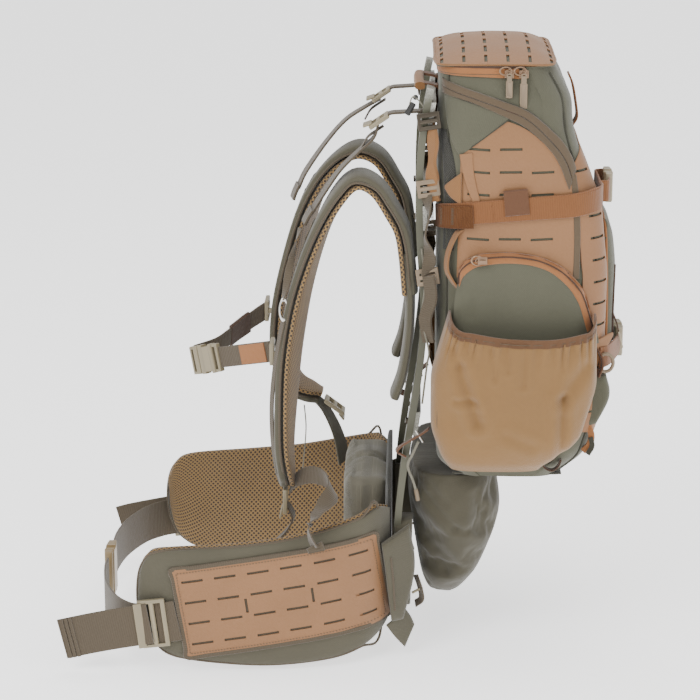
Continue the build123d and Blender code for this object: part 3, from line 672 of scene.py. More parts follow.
# Each finish is listed with the slot of the part that it belongs to.
USUAL_SLOT = {finish.name: slot for slot, finishes in (
    ("green_fabric", (green_dark, green, sack_cloth)),
    ("tan_laminate", (laminate, laminate_rear)),
    ("tan_fabric", (tan_cloth, zip_cloth, dark_web, thread, khaki)),
    ("tan_plastic", (plastic_pale, plastic, pull_plastic)),
    ("brown_webbing", (webbing, keeper_web)),
    ("grey_webbing", (pad_cloth, belt_web)),
    ("dark_steel", (bright_metal, ring_metal)),
    ("grey_fabric", (strap_cloth, spacer, flap_cloth)),
    ("brown_elastic", (elastic,)),
    ("gold_mesh", (gold_mesh,)),
) for finish in finishes}
print("all finishes:", len(bpy.data.materials))

# %% [markdown]
# The rails, crossbars, screws and the small toggle are hard parts whose CAD shape is right, so they stay
# and only get a painted, plated or moulded finish.

# %% Finish the CAD pieces that stay
KEPT = {"frame_rail_left": rail_paint, "frame_rail_right": rail_paint, "frame_crossbars": rail_paint,
        "frame_screws": dark_metal, "rail_toggle": plastic_black}
for node, finish in KEPT.items():
    for slot in bpy.data.objects[node].material_slots:
        slot.material = finish
print("kept CAD nodes:", ", ".join(KEPT))

# %% [markdown]
# ## The bag's body
# The body is a tall shell with rounded corners whose rear leans in below the lid. One formula gives its
# skin: a place round the plan, a height and a distance out. Each sewn panel is a stretch of that skin that
# draws in at its seams, and everything sewn to the bag uses the same skin, so nothing floats or sinks in.

# %% The bag's skin
CORNER = 36
FRONTS = [(58, 128), (72, 108), (90, 106), (536, 106)]
REARS = [(58, 250), (86, 280), (140, 296), (300, 298), (384, 289), (438, 266), (470, 257), (500, 256),
         (536, 236)]
HALVES = [(58, 126), (92, 142), (440, 142), (536, 118)]
CREASES = [((214, 507), (246, 520), 1.8, 6), ((222, 498), (236, 470), 1.4, 7), ((152, 289), (144, 262), 2.2,
        7),
           ((150, 470), (143, 452), 1.0, 6), ((238, 500), (252, 480), 1.2, 6)]


def off_line(x, z, a, b):
    """How far the point is from the line between a and b."""
    run = (b[0] - a[0], b[1] - a[1])
    part = ((x - a[0]) * run[0] + (z - a[1]) * run[1]) / (run[0] ** 2 + run[1] ** 2)
    part = min(1.0, max(0.0, part))
    return math.hypot(x - a[0] - part * run[0], z - a[1] - part * run[1])


def relief(hand, x, z):
    """Slack cloth: a low swell, slow waves and a few pressed creases."""
    wave = noise.noise(Vector((x * 0.022, hand * 3.1, z * 0.016))) * 2.2
    for a, b, deep, wide in CREASES:
        wave -= deep * math.exp(-(off_line(x, z, a, b) / wide) ** 2)
    return wave


def on_side(hand, x, z, out=0.0):
    """A place on the side of the bag, by its X and Z."""
    half, front, rear = lean(HALVES, z), lean(FRONTS, z), lean(REARS, z)
    over = x - (rear - CORNER) if x > (front + rear) / 2 else x - (front + CORNER)
    over = max(0.0, over) if x > (front + rear) / 2 else min(0.0, over)
    over = max(-CORNER + 0.5, min(CORNER - 0.5, over))
    flat = math.sqrt(CORNER ** 2 - over ** 2)
    out += relief(hand, x, z) * flat / CORNER
    y = half - CORNER + flat + out * flat / CORNER
    return Vector((x + out * over / CORNER, hand * y, z))


def skin(s, z, out=0.0):
    """A place round the bag: s is 0 at the rear centre, 1 to 2 the rear corner, 2 to 3 the side,
    3 to 4 the front corner, 5 the front centre and on to 10 round the other hand."""
    s = s % 10
    hand = LEFT
    if s > 5:
        s, hand = 10 - s, RIGHT
    half, front, rear = lean(HALVES, z), lean(FRONTS, z), lean(REARS, z)
    flat = half - CORNER
    slack = noise.noise(Vector((hand * s * 1.3, z * 0.014, 4.0))) * 1.6
    if s <= 1:
        return Vector((rear + out + slack * (1 - s), hand * flat * s, z))
    if s < 2:
        turn = (s - 1) * math.pi / 2
        return Vector((rear - CORNER + (CORNER + out) * math.cos(turn),
                       hand * (flat + (CORNER + out) * math.sin(turn)), z))
    if s <= 3:
        return on_side(hand, rear - CORNER - (s - 2) * (rear - front - 2 * CORNER), z, out)
    if s < 4:
        turn = (s - 3) * math.pi / 2
        return Vector((front + CORNER - (CORNER + out) * math.sin(turn),
                       hand * (flat + (CORNER + out) * math.cos(turn)), z))
    return Vector((front - out, hand * flat * (5 - s), z))


# %% Sewn panels of the body
def body_panel(name, first, last, columns, node):
    lay = lambda point, out: skin(point[0], point[1], out - 4)
    low = [(first + (last - first) * k / 4, 60) for k in range(5)]
    high = [(s, 534) for s, _ in low]
    piece = plate(name, low, high, lay, 4.0, columns, 90, rim=0.6)
    return done(piece, green, (node,), fill=0.4)


body_panel("bag_side_panel_left", 1.5, 3.5, 64, "bag_side_left")
body_panel("bag_side_panel_right", 6.5, 8.5, 64, "bag_side_right")
body_panel("bag_back_panel_cloth", 3.5, 6.5, 60, "bag_back_panel")
body_panel("bag_rear_panel_cloth", -1.5, 1.5, 60, "bag_rear_panel")
floor_lay = lambda point, out: Vector((point[0], point[1], 63 - out))
floor_piece = plate("bag_floor_cloth", [(126, -122), (252, -122)], [(126, 122), (252, 122)], floor_lay, 5.0,
                    20, 30)
done(floor_piece, green_dark, ("bag_bottom",), fill=0.3)

# %% [markdown]
# Piping covers the four upright seams and a bound band turns the top edge in over the opening.

# %% Seams and top band
for number, s in enumerate((1.5, 3.5, 6.5, 8.5)):
    line = [skin(s, z, -0.4) for z in range(66, 533, 22)]
    done(tube(f"body_seam_piping_{number + 1}", line, 1.5, 90), green_dark)
loop = [skin(s / 8, 534.5, -4.4) for s in range(80)]
top_line = smooth_line(loop, 200, closed=True)
stations = frames_along(top_line, (0, 0, 1))
done(sweep("bag_top_band", stations, lambda t: flat_section(3.0, 8.0, 2)), green)


# %% [markdown]
# ## The lid
# The lid is a shallow dome of laminate with rows of laser-cut slots, lined with green cloth that shows
# through them. The dome is a grid shaped by two profiles, front to rear and side to side. It gets its
# thickness from Solidify, and the slots are cut afterwards so that their edges stay crisp.

# %% Dome and slots
LID_HALF = 119
LID_BASE = 537.2
LID_RISE = [(101, 0.0), (106, 6.5), (116, 12.4), (132, 16.6), (165, 19.0), (206, 18.0), (222, 12.5),
            (237, 1.2)]
LID_CORNER = 22
LID_FRONT, LID_MIDDLE, LID_REAR = 101, 169, 237
LID_EDGE = (-0.9, -0.5, 0, 0.5, 0.9)


def dome(x, across, out=0.0):
    """A place on the lid: across runs from -1 to 1 over its width."""
    rise = lean(LID_RISE, x)
    fall = (1 - across ** 2) ** 0.72
    past = max(0.0, 1 - min(x - LID_FRONT, LID_REAR - x) / LID_CORNER)
    half = LID_HALF - LID_CORNER * (1 - math.sqrt(1 - min(1.0, past) ** 2))
    facet = 0.5 * math.cos(across * 9.0)
    return Vector((x, half * across, LID_BASE + (rise + facet) * fall + out))


def dome_sheet(name, shrink, thick):
    rows = []
    for k in range(61):
        x = LID_FRONT + (LID_REAR - LID_FRONT) * (0.5 - 0.5 * math.cos(math.pi * k / 60))
        x = LID_MIDDLE + (x - LID_MIDDLE) * shrink
        rows.append([dome(x, math.sin(math.pi / 2 * (2 * j / 60 - 1)) * shrink, 0 if shrink == 1 else -2.2)
                     for j in range(61)])
    piece = grid(name, rows)
    close_up(piece, ends=False)
    modify(piece, "SOLIDIFY", thickness=thick * MM, offset=-1.0)
    close_up(piece, ends=False)
    return piece


lid_skin = dome_sheet("lid_laminate", 1.0, 1.5)
slots = []
for across in (-0.88, -0.63, -0.32, 0.0, 0.32, 0.63, 0.88):
    for k in range(6):
        x = 109 + 24.6 * k
        here, there = dome(x, across - 0.02), dome(x, across + 0.02)
        slope = math.atan2(there.z - here.z, there.y - here.y)
        length = 18 if abs(across) > 0.8 else 24
        tool = block("slot_tool", (-1.8, -length / 2, -3.5), (1.8, length / 2, 6), bevel=0)
        tool.data.transform(at(dome(x, across)) @ Matrix.Rotation(slope, 4, "X"))
        slots.append(tool)
cut(lid_skin, *slots)
done(lid_skin, laminate, ("lid_flap",), body="lid", smooth=30)
done(dome_sheet("lid_lining", 0.975, 1.2), green, body="lid", fill=0.3)
rim = [dome(LID_FRONT, a) for a in LID_EDGE] + [dome(x, 0.998) for x in (108, 140, 170, 200, 230)]
rim += [dome(LID_REAR, -a) for a in LID_EDGE] + [dome(x, -0.998) for x in (230, 200, 170, 140, 108)]
done(tube("lid_edge_binding", rim, 1.3, 160, closed=True), tan_cloth, body="lid")
print("lid slots:", len(slots))

# %% [markdown]
# ## The lid's zip
# A broad tape runs round the front of the bag under the lid, with the coil along its upper edge. Two
# sliders meet on the near side; each carries a ring and a long moulded tab that hangs by its own weight.

# %% Zip tape and coil
tape_lay = lambda point, out: skin(point[0], point[1], out + 0.4)
low = [(2.12, 522.5), (3.0, 525), (4, 526.5), (5, 527), (6, 526.5), (7, 525), (7.88, 522.5)]
high = [(2.12, 533.5), (3.0, 534.5), (4, 535), (5, 535), (6, 535), (7, 534.5), (7.88, 533.5)]
done(plate("lid_zip_tape_cloth", low, high, tape_lay, 1.4, 130, 10, rim=0.6), zip_cloth, ("lid_zip_tape",))
coil_line = [skin(2.0 + k * 0.25, 535.2, 0.9) for k in range(25)]
done(tube("lid_zip_coil", coil_line, 1.35, 150, 6), dark_web)
stitch_line = [skin(2.15 + k * 0.2375, 527.6, 1.9) for k in range(25)]
done(tube("lid_zip_stitching", stitch_line, 0.35, 150, 5), thread)


# %% Sliders, rings and tabs
def zip_slider(name, length=11.0, width=9.0):
    """A slider lying flat: a bellied body, a bridge over it and the gap between its two plates."""
    shell = block(name, (-length / 2, -width / 2, 0), (length / 2, width / 2, 3.4), 1.1, 3)
    gap = block("gap", (-length, -width / 2 - 1, 1.2), (length / 2 - 2.5, -1.2, 2.1), bevel=0)
    other = block("gap", (-length, 1.2, 1.2), (length / 2 - 2.5, width / 2 + 1, 2.1), bevel=0)
    cut(shell, gap, other)
    bridge = block("bridge", (-3.6, -1.3, 3.0), (3.6, 1.3, 5.6), 0.8, 2)
    hole = block("hole", (-2.3, -3, 3.4), (2.3, 3, 4.6), bevel=0.2)
    cut(bridge, hole)
    return joined(name, shell, bridge)


def pull_tab(name, length, width, body, node, pivot, lean_out):
    """A moulded tab with a waist, a raised rim and a cord eye, hung from its pivot."""
    tab = block(name, (-width / 2, -1.7, -length + 3), (width / 2, 1.7, -length * 0.25), 1.6, 4)
    neck = block("neck", (-width * 0.36, -1.4, -length * 0.3), (width * 0.36, 1.4, -2.2), 1.2, 3)
    face = block("face", (-width / 2 + 1.7, -3, -length + 5.5), (width / 2 - 1.7, -1.25, -length * 0.3),
                 bevel=0.4)
    cut(tab, face)
    eye = ring_of("eye", (0, 0, -2.4), (0, 1, 0), 2.3, 0.7)
    piece = joined(name, tab, neck, eye)
    piece.data.transform(at(pivot) @ turned(lean_out, "Y"))
    return crisp(piece, pull_plastic, (node,), body=body)


for name, node, x, body in (("lid_zip_slider_body_front", "lid_zip_slider_front", 184, "lid_slider"),
                            ("lid_zip_slider_body_rear", "lid_zip_slider_rear", 200, "root")):
    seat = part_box(node)
    level = (seat[0].z + seat[1].z) / 2 / MM
    place = Vector((x, seat[1].y / MM - 0.2, level))
    piece = zip_slider(name)
    settle(piece, place, (1 if body == "root" else -1, 0, 0), (0, -1, 0))
    crisp(piece, ring_metal, (node,), body=body)
PIVOT_Y, PIVOT_Z = -128.7, 529.1
pull_tab("lid_zip_tab_front", 30, 7.6, "front_pull", "lid_zip_pull_front", (184, PIVOT_Y, PIVOT_Z), 0)
pull_tab("lid_zip_tab_rear", 42, 8.4, "rear_pull", "lid_zip_pull_rear", (200, PIVOT_Y, PIVOT_Z), 0)
for k, (x, body) in enumerate(((180, "lid_slider"), (196, "root"))):
    ring = ring_of(f"lid_zip_ring_{k + 1}", (x, -124.6, 531.5), (0.1, -1, 0.25), 4.4, 0.8, 1.5)
    inner = ring_of("inner", (x + 4, -124.9, 530.5), (0.15, -1, 0.2), 2.8, 0.6)
    done(joined(ring.name, ring, inner), ring_metal, body=body, smooth=60)

# %% [markdown]
# ## The near and far sides
# Both sides have the same sewing: a zipped flap that runs down and back under the lid, a triangle of green
# cloth in front of it, and a panel of slotted laminate between them. Flat pieces are plates laid on the
# bag's skin. The right side isn't seen, so it mirrors the left.

# %% Zipped flap, triangle, strip and slotted laminate
def laid_on(hand, lift=0.0):
    return lambda point, out: on_side(hand, point[0], point[1], out + lift)


SLOT_ROW, SLOT_COLUMN = 25.4, 35.8
SLOT_FIRST_X, SLOT_FIRST_Z = 151, 345
SLOT_HALF, SLOT_CUT = 12.5, 1.5
FLAP_TOP = [(110, 521), (174, 500), (207, 487), (236, 463), (250, 444), (259, 424)]
FLAP_MIDDLE = [(110, 513), (174, 491.5), (206, 478), (231, 455), (246, 434), (255, 410)]
FLAP_LOW = [(110, 505), (140, 498), (174, 484), (203, 470), (227, 449), (240, 430), (252, 400)]
for hand, side in SIDES:
    for name, low, high in (("upper", FLAP_MIDDLE, FLAP_TOP), ("lower", FLAP_LOW, FLAP_MIDDLE)):
        lip = plate(f"zip_flap_{name}_{side}", low, high, laid_on(hand, 0.6), 3.6, 80, 12, rim=0.12)
        done(lip, flap_cloth, fill=0.4)
    seam = [on_side(hand, x, z, 1.2) for x, z in FLAP_MIDDLE]
    done(tube(f"zip_flap_seam_{side}", seam, 0.7, 80, 6), dark_web, slot="grey_fabric")
    for name, line in (("top", FLAP_TOP), ("low", FLAP_LOW)):
        edge = [on_side(hand, x, z, 0.5) for x, z in line]
        done(tube(f"zip_flap_edge_{name}_{side}", edge, 0.8, 80, 6), green_dark)
    triangle = plate(f"green_triangle_{side}", [(113, 504), (116, 479), (121, 457), (130, 439)],
                     [(116, 505), (150, 494), (187, 482)], laid_on(hand, 1.4), 1.8, 50, 34, rim=0.5)
    done(triangle, green, smooth=30)
    edge = [on_side(hand, x, z, 2.4) for x, z in ((130, 440), (150, 454.5), (170, 469), (186, 480.5))]
    done(tube(f"green_triangle_edge_{side}", edge, 0.7, 40, 6), green_dark)
    strip = [on_side(hand, x, z, 1.6) for x, z in ((255, 418), (259, 392), (262, 350), (262, 300))]
    facing = on_side(hand, 262, 350, 9) - on_side(hand, 262, 350, 0)
    across = facing.cross(Vector((0, 0, 1)))
    done(strap(f"rear_edge_strip_{side}", strip, 7.5, 2.2, across, 50), flap_cloth)
    panel = plate(f"side_laminate_{side}", [(128, 300), (160, 297), (200, 297), (240, 297), (262, 300)],
                  [(131, 438), (147, 460), (168, 478), (200, 470), (228, 449), (246, 428), (260, 395)],
                  laid_on(hand, 0.2), 1.6, 90, 60, rim=0.8)
    tools = []
    for c in range(3):
        for r in range(5):
            x, z = SLOT_FIRST_X + SLOT_COLUMN * c, SLOT_FIRST_Z + SLOT_ROW * r
            if r == 4 and c == 2:
                continue
            y = on_side(hand, x, z)[1]
            tool = block("slot_tool", (x - SLOT_HALF, y - 7, z - SLOT_CUT),
                         (x + SLOT_HALF, y + 7, z + SLOT_CUT), bevel=0)
            turn = at((x, y, z)) @ turned(-3.5 * (c - 1), "Y")
            tool.data.transform(turn @ Matrix.Translation(Vector((x, y, z)) * -MM))
            tools.append(tool)
    cut(panel, *tools)
    done(panel, laminate, ("side_laminates",), smooth=30)
    fold = [on_side(hand, x, z, 2.6) for x, z in ((137, 442), (139, 424), (143, 406), (149, 388))]
    roll = strap(f"laminate_rolled_edge_{side}", fold, 15, 2.4, (0.95, 0, 0.3), 40, lambda t: 1 - 0.4 * t)
    done(roll, laminate)
    tab = plate(f"edge_webbing_tab_{side}", [(116, 402), (122, 392), (133, 384)], [(116, 404), (123, 412),
            (133, 421)],
                laid_on(hand, 3.2), 3.0, 24, 16, rim=0.5)
    done(tab, tan_cloth)
print("side pieces:", len(made))

# %% [markdown]
# The rear is laminate too, wrapped round both corners, with its own rows of slots.

# %% Slotted rear laminate
rear = plate("rear_laminate", [(-1.86, 120), (-1, 112), (0, 110), (1, 112), (1.86, 120)],
             [(-1.86, 420), (-1, 446), (0, 452), (1, 446), (1.86, 420)],
             lambda point, out: skin(point[0], point[1], out + 0.5), 1.6, 110, 70, rim=0.8)
tools = []
for r in range(12):
    z = 142 + SLOT_ROW * r
    for s in (-1.42, -0.82, -0.42, 0.0, 0.42, 0.82, 1.42):
        here, out = skin(s, z), skin(s, z, 10) - skin(s, z)
        tool = block("slot_tool", (-SLOT_HALF, -SLOT_CUT, -6), (SLOT_HALF, SLOT_CUT, 8), bevel=0)
        settle(tool, here, out.cross(Vector((0, 0, 1))), out)
        tools.append(tool)
cut(rear, *tools)
done(rear, laminate_rear, smooth=30)
print("rear slots:", len(tools))

# %% [markdown]
# ## Zipped side pocket
# A low pocket stands proud of the laminate under an arch of zip tape. Its height is a formula: it climbs
# like a quarter circle from its outline inwards. Cloth, tape and coil are laid on that same swelling.

# %% Pocket swell
ARCH = [(131, 296), (131, 309), (138, 321), (153, 328), (187, 330), (221, 325), (249, 312), (270, 287),
        (281, 246)]
TAPE_TOP = 324.5
ARCH_INNER = [(133, 291), (136, 302), (144, 312), (157, 317), (187, 319.5), (219, 315), (242, 303),
              (262, 279), (272, 240)]


def from_outline(x, z, outline):
    return min(off_line(x, z, a, b) for a, b in zip(outline, outline[1:]))


def swollen(hand, outline, height, run):
    """Lay a piece on the side, raised by a pocket's swell inside its outline."""
    def lay(point, out):
        x, z = point[0], point[1]
        near = min(1.0, from_outline(x, z, outline) / run)
        rise = height * math.sqrt(max(0.0, 1 - (1 - near) ** 2))
        return on_side(hand, x, z, out + rise)
    return lay


for hand, side in SIDES:
    swell = swollen(hand, ARCH, 13.0, 26)
    body = plate(f"side_pocket_cloth_{side}", [(128, 222), (160, 214), (200, 212), (240, 214), (282, 226)],
                 ARCH[1:],
                 swell, 2.0, 60, 46, rim=0.5)
    done(body, green, (f"side_pocket_{side}",), fill=0.5)
    raised = lambda point, out: swell(point, out + 1.0)
    outer = plate(f"pocket_zip_tape_{side}", ARCH_INNER, ARCH, raised, 2.0, 110, 10, rim=0.5)
    done(outer, zip_cloth)
    middle = [((a[0] * 0.35 + b[0] * 0.65), (a[1] * 0.35 + b[1] * 0.65)) for a, b in zip(ARCH_INNER, ARCH)]
    coil = [swell(p, 3.2) for p in middle]
    done(tube(f"pocket_zip_coil_{side}", coil, 0.9, 120, 6), dark_web)
    node = f"pocket_zip_slider_{side}"
    low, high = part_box(node)
    place = Vector(((low.x + high.x) / 2 / MM, hand * 161.0, TAPE_TOP))
    slider = settle(zip_slider(f"pocket_slider_{side}"), place, (1, 0, 0), (0, hand, 0))
    ring = ring_of("ring", (150, hand * 162.8, TAPE_TOP), (0, 1, 0.12), 5.4, 1.1, 1.15)
    inner = ring_of("inner", (151, hand * 163.0, TAPE_TOP), (0, 1, 0.12), 2.6, 0.8)
    slider = joined(slider.name, slider, ring, inner)
    done(slider, ring_metal, (node,), body=f"pocket_slider_{side}", smooth=45)
    loop = [on_side(hand, 133, 356, 1), on_side(hand, 128, 350, 5), on_side(hand, 122, 330, 8),
            on_side(hand, 121, 310, 9), on_side(hand, 125, 296, 6), on_side(hand, 130, 288, 3)]
    done(strap(f"side_grab_loop_{side}", loop, 9, 2.2, (0.5, hand * 0.9, 0), 40), tan_cloth)

# %% [markdown]
# ## Gathered bottle pockets
# The cup is cut wider than its elastic, so the cloth gathers in fine folds below the band and hangs in two
# or three deeper creases lower down. It is lofted from its plan, which is half of a soft oval, and the
# gathers are ripples that fade downwards, each to its own length.

# %% Cup, elastic band and dart
CUP_FRONT = [(78, 126), (92, 114), (130, 101), (190, 101), (262, 121), (276, 126)]
CUP_REAR = [(78, 220), (90, 234), (116, 268), (180, 286), (262, 284), (276, 282)]
CUP_DEPTH = [(76, 18), (84, 36), (104, 46), (124, 51), (200, 52), (262, 49), (276, 46)]
RIM_DIP = [(0.0, 262), (0.28, 247), (0.55, 240), (0.8, 246), (1.0, 259)]
CUP_CREASES = [((132, 205), (153, 143), 4.6, 6.5), ((246, 101), (248, 171), 4.4, 5.5),
               ((248, 171), (272, 208), 3.6, 7),
               ((129, 168), (150, 167), 2.6, 4), ((186, 128), (214, 116), 1.6, 6), ((124, 228), (133, 210),
                       2.0, 5),
               ((205, 232), (203, 188), 1.8, 3.5), ((168, 228), (171, 196), 1.6, 3.5),
               ((185, 232), (186, 205), 1.3, 3)]


def cup(hand, u, v, out=0.0):
    """A place on the pocket: u runs round it from front to rear, v from its floor at 0 to its rim at 1."""
    turn = math.pi * u
    rim_z = between(u, RIM_DIP)
    z = 80 + (rim_z - 80) * v
    front, rear = lean(CUP_FRONT, z), lean(CUP_REAR, z)
    middle, reach = (front + rear) / 2, (rear - front) / 2
    x = middle - reach * math.copysign(abs(math.cos(turn)) ** 0.72, math.cos(turn))
    deep = lean(CUP_DEPTH, z) * max(0.0, math.sin(turn)) ** 0.42
    length = 0.16 + 0.26 * (0.5 + 0.5 * noise.noise(Vector((u * 21.0, hand * 2.0, 0.5))))
    fade = max(0.0, 1 - max(0.0, 1 - v) / length) ** 1.4 * min(1.0, max(0.0, (0.975 - v) / 0.03))
    beat = math.sin(u * 104 + 3.4 * noise.noise(Vector((u * 17.0, 1.5, hand))))
    push = 2.6 * math.copysign(abs(beat) ** 0.75, beat) * fade
    push += 2.2 * noise.noise(Vector((x * 0.024, hand * 7.0, z * 0.018))) * min(1.0, v * 4)
    for a, b, fall, wide in CUP_CREASES:
        gap = off_line(x, z, a, b) / wide
        push += fall * (0.45 * math.exp(-(gap - 1.9) ** 2) - math.exp(-gap * gap))
    deep += (push + out) * min(1.0, math.sin(turn) * 2.5)
    end = math.cos(turn)
    return Vector((x - end * out * 0.6, hand * (140 + deep), z))


for hand, side in SIDES:
    rows = [[cup(hand, i / 240, v) for i in range(241)] for v in [j / 70 * 0.955 for j in range(71)]]
    cloth_piece = grid(f"bottle_pocket_cloth_{side}", rows)
    close_up(cloth_piece, ends=False)
    modify(cloth_piece, "SOLIDIFY", thickness=1.6 * MM, offset=1.0 if hand == LEFT else 1.0)
    close_up(cloth_piece, ends=False)
    done(cloth_piece, khaki, (f"bottle_pocket_{side}",), smooth=60, fill=0.2)
    floor_rows = [[cup(hand, 0.5 + (i / 40 - 0.5) * w, 0.012) * 1.0 for i in range(41)] for w in (1.0, 1.0)]
    for k in range(1, 9):
        part = k / 8
        floor_rows.append([Vector((p.x, hand * (140 + (abs(p.y) - 140) * (1 - part)),
                                   p.z - 3 * math.sin(part * 3.14)))
                           for p in floor_rows[0]])
    base = grid(f"bottle_pocket_floor_{side}", floor_rows[1:])
    modify(base, "SOLIDIFY", thickness=1.6 * MM, offset=0.0)
    close_up(base, ends=False)
    done(base, khaki, smooth=60, fill=0.2)
    band_rows = [[cup(hand, i / 200, v, 1.2 if 0 < v < 2 else 0) for i in range(201)] for v in (0.94, 0.955,
            0.97, 0.985, 1.0)]
    band = grid(f"pocket_elastic_{side}", band_rows)
    modify(band, "SOLIDIFY", thickness=2.0 * MM, offset=0.0)
    close_up(band, ends=False)
    done(band, elastic, ("pocket_elastics",), smooth=60)
    dart = [cup(hand, 0.145, v, 0.9) for v in (0.03, 0.15, 0.3, 0.43)]
    done(tube(f"pocket_dart_{side}", dart, 0.7, 40, 6), thread)
    hem = [cup(hand, u / 20, 0.965, 2.4) for u in range(1, 20)]
    done(tube(f"pocket_hem_stitching_{side}", hem, 0.4, 160, 5), thread, slot="brown_elastic")

# %% [markdown]
# ## Rear pocket
# A flat organiser pocket swells from the rear laminate. Its edge has a line of orange piping.

# %% Rear pocket, its piping and zip tab
REAR_RING = [(-62, 176), (-84, 190), (-86, 250), (-84, 330), (-70, 356), (0, 362), (70, 356), (84, 330),
             (86, 250),
             (84, 190), (62, 176), (0, 172), (-62, 176)]


def on_rear(point, out, height=13.0):
    y, z = point[0], point[1]
    near = min(1.0, from_outline(y, z, REAR_RING) / 30)
    rise = height * math.sqrt(max(0.0, 1 - (1 - near) ** 2))
    return Vector((lean(REARS, z) + rise + out, y, z))


pocket = plate("rear_pocket_cloth", [(-86, 192), (-62, 176), (0, 172), (62, 176), (86, 192)],
               [(-84, 334), (-70, 356), (0, 362), (70, 356), (84, 334)], on_rear, 2.2, 60, 46, rim=0.4)
done(pocket, green, ("rear_pocket",), fill=0.5)
edge = [on_rear((y * 0.985, 267 + (z - 267) * 0.985), 1.2) for y, z in REAR_RING[:-1]]
done(tube("rear_pocket_piping", edge, 1.6, 180, 8, closed=True), zip_cloth)
zip_line = [on_rear((y, z), 2.6) for y, z in ((-70, 300), (-74, 250), (-70, 210))]
done(tube("rear_pocket_zip", zip_line, 1.5, 60, 6), dark_web)
tab = block("rear_pocket_pull", (-1.2, -2.5, -20), (1.2, 2.5, 0), 1.0, 2)
tab.data.transform(at((317.5, -78, 222)) @ turned(-14, "Y"))
done(tab, plastic_pale)
cord = [(311.5, -77, 240), (315, -77.5, 232), (317.5, -78, 221)]
done(tube("rear_pocket_pull_cord", cord, 0.9, 20, 6), dark_web, slot="brown_webbing")

# %% [markdown]
# ## Side-release buckles
# Every buckle is the same pair at its own size: a flat socket with side windows and a plug whose two
# sprung arms show in them. They are made lying along X, socket behind and plug ahead, and then settled.

# %% Buckle parts
def buckle_socket(name, width, thick, length=31):
    """The female half: open at X = 0, webbing bar behind."""
    shell = block(name, (-length + 8, -width / 2, -thick / 2), (0, width / 2, thick / 2), 1.8, 4)
    mouth = block("cut", (-length + 12, -width / 2 + 3, -thick / 2 + 2), (2, width / 2 - 3, thick / 2 - 2),
                  bevel=0.3)
    windows = [block("cut", (-length + 13, s * width / 2 - 2.6, -thick / 2 - 1), (-7, s * width / 2 + 2.6,
            thick / 2 + 1), bevel=0.8)
               for s in (-1, 1)]
    dish = block("cut", (-length + 13, -width * 0.22, thick / 2 - 0.9), (-6, width * 0.22, thick / 2 + 3),
                 bevel=0.8)
    cut(shell, mouth, *windows, dish)
    loop = block("loop", (-length, -width / 2 + 0.6, -thick / 2 + 1.2), (-length + 9.5, width / 2 - 0.6,
            thick / 2 - 1.2), 1.5, 3)
    hole = block("cut", (-length + 3.2, -width / 2 + 4, -thick), (-length + 7.4, width / 2 - 4, thick),
                 bevel=0)
    cut(loop, hole)
    return joined(name, shell, loop)


def buckle_plug(name, width, thick, reach=20, back=14):
    """The male half: two arms and a middle guide ahead of a solid base and its webbing bar."""
    base = block(name, (1.0, -width / 2 + 0.5, -thick / 2 + 0.4), (8.0, width / 2 - 0.5, thick / 2 - 0.4),
                 1.4, 3)
    loop = block("loop", (6.5, -width / 2 + 0.6, -thick / 2 + 1.2), (back + 0.4, width / 2 - 0.6,
            thick / 2 - 1.2), 1.4, 3)
    hole = block("cut", (8.4, -width / 2 + 4, -thick), (back - 2.8, width / 2 - 4, thick), bevel=0)
    cut(loop, hole)
    parts = [base, loop]
    for s in (-1, 1):
        arm = block("arm", (-reach, s * (width / 2 - 4.4) - 1.5, -thick / 2 + 2.4),
                    (2.0, s * (width / 2 - 4.4) + 1.5, thick / 2 - 2.4), 0.9, 2)
        parts.append(arm)
    parts.append(block("guide", (-reach + 5, -1.3, -1.2), (2.0, 1.3, 1.2), 0.6, 2))
    return joined(name, *parts)


def buckle(title, origin, along, normal, width, thick, root_body, plug_body, sock, plug, finish):
    """Both halves at a place: along points from the socket to the plug."""
    female = settle(buckle_socket(f"{title}_socket", width, thick), origin, along, normal)
    crisp(female, finish, (sock,), body=root_body, slot="tan_plastic")
    male = settle(buckle_plug(f"{title}_plug", width, thick), origin, along, normal)
    crisp(male, finish, (plug,), body=plug_body, slot="tan_plastic")


buckle("upper_rear_buckle", (303, -30, 388), (0, 1, 0), (1, 0, 0), 35, 10, "root", "upper_plug",
       "upper_buckle_socket", "upper_buckle_plug", plastic_pale)
buckle("lower_rear_buckle", (320, -30, 205), (0, 1, 0), (1, 0, 0), 35, 10, "root", "lower_plug",
       "lower_buckle_socket", "lower_buckle_plug", plastic_pale)

# %% [markdown]
# ## Compression straps
# Two straps cross the sides and close over the rear. The upper one is ribbed, orange-brown webbing that
# starts at a sewn tab at the front edge and runs through a brown elastic keeper. Webbing is swept directly
# along its route, because its thickness and square edges are what make it look like webbing.

# %% Straps, sewn tabs and keepers
def bartack(name, origin, along, normal, length, pitch=1.6, body="root"):
    """A short dense row of stitches across webbing."""
    bars = []
    for k in range(int(length / pitch)):
        at = -length / 2 + (k + 0.5) * pitch
        bars.append(block("stitch", (at - 0.4, -1.6, -0.2), (at + 0.4, 1.6, 0.5), bevel=0))
    row = settle(joined(name, *bars), origin, along, normal)
    return done(row, thread, body=body, slot="brown_webbing")


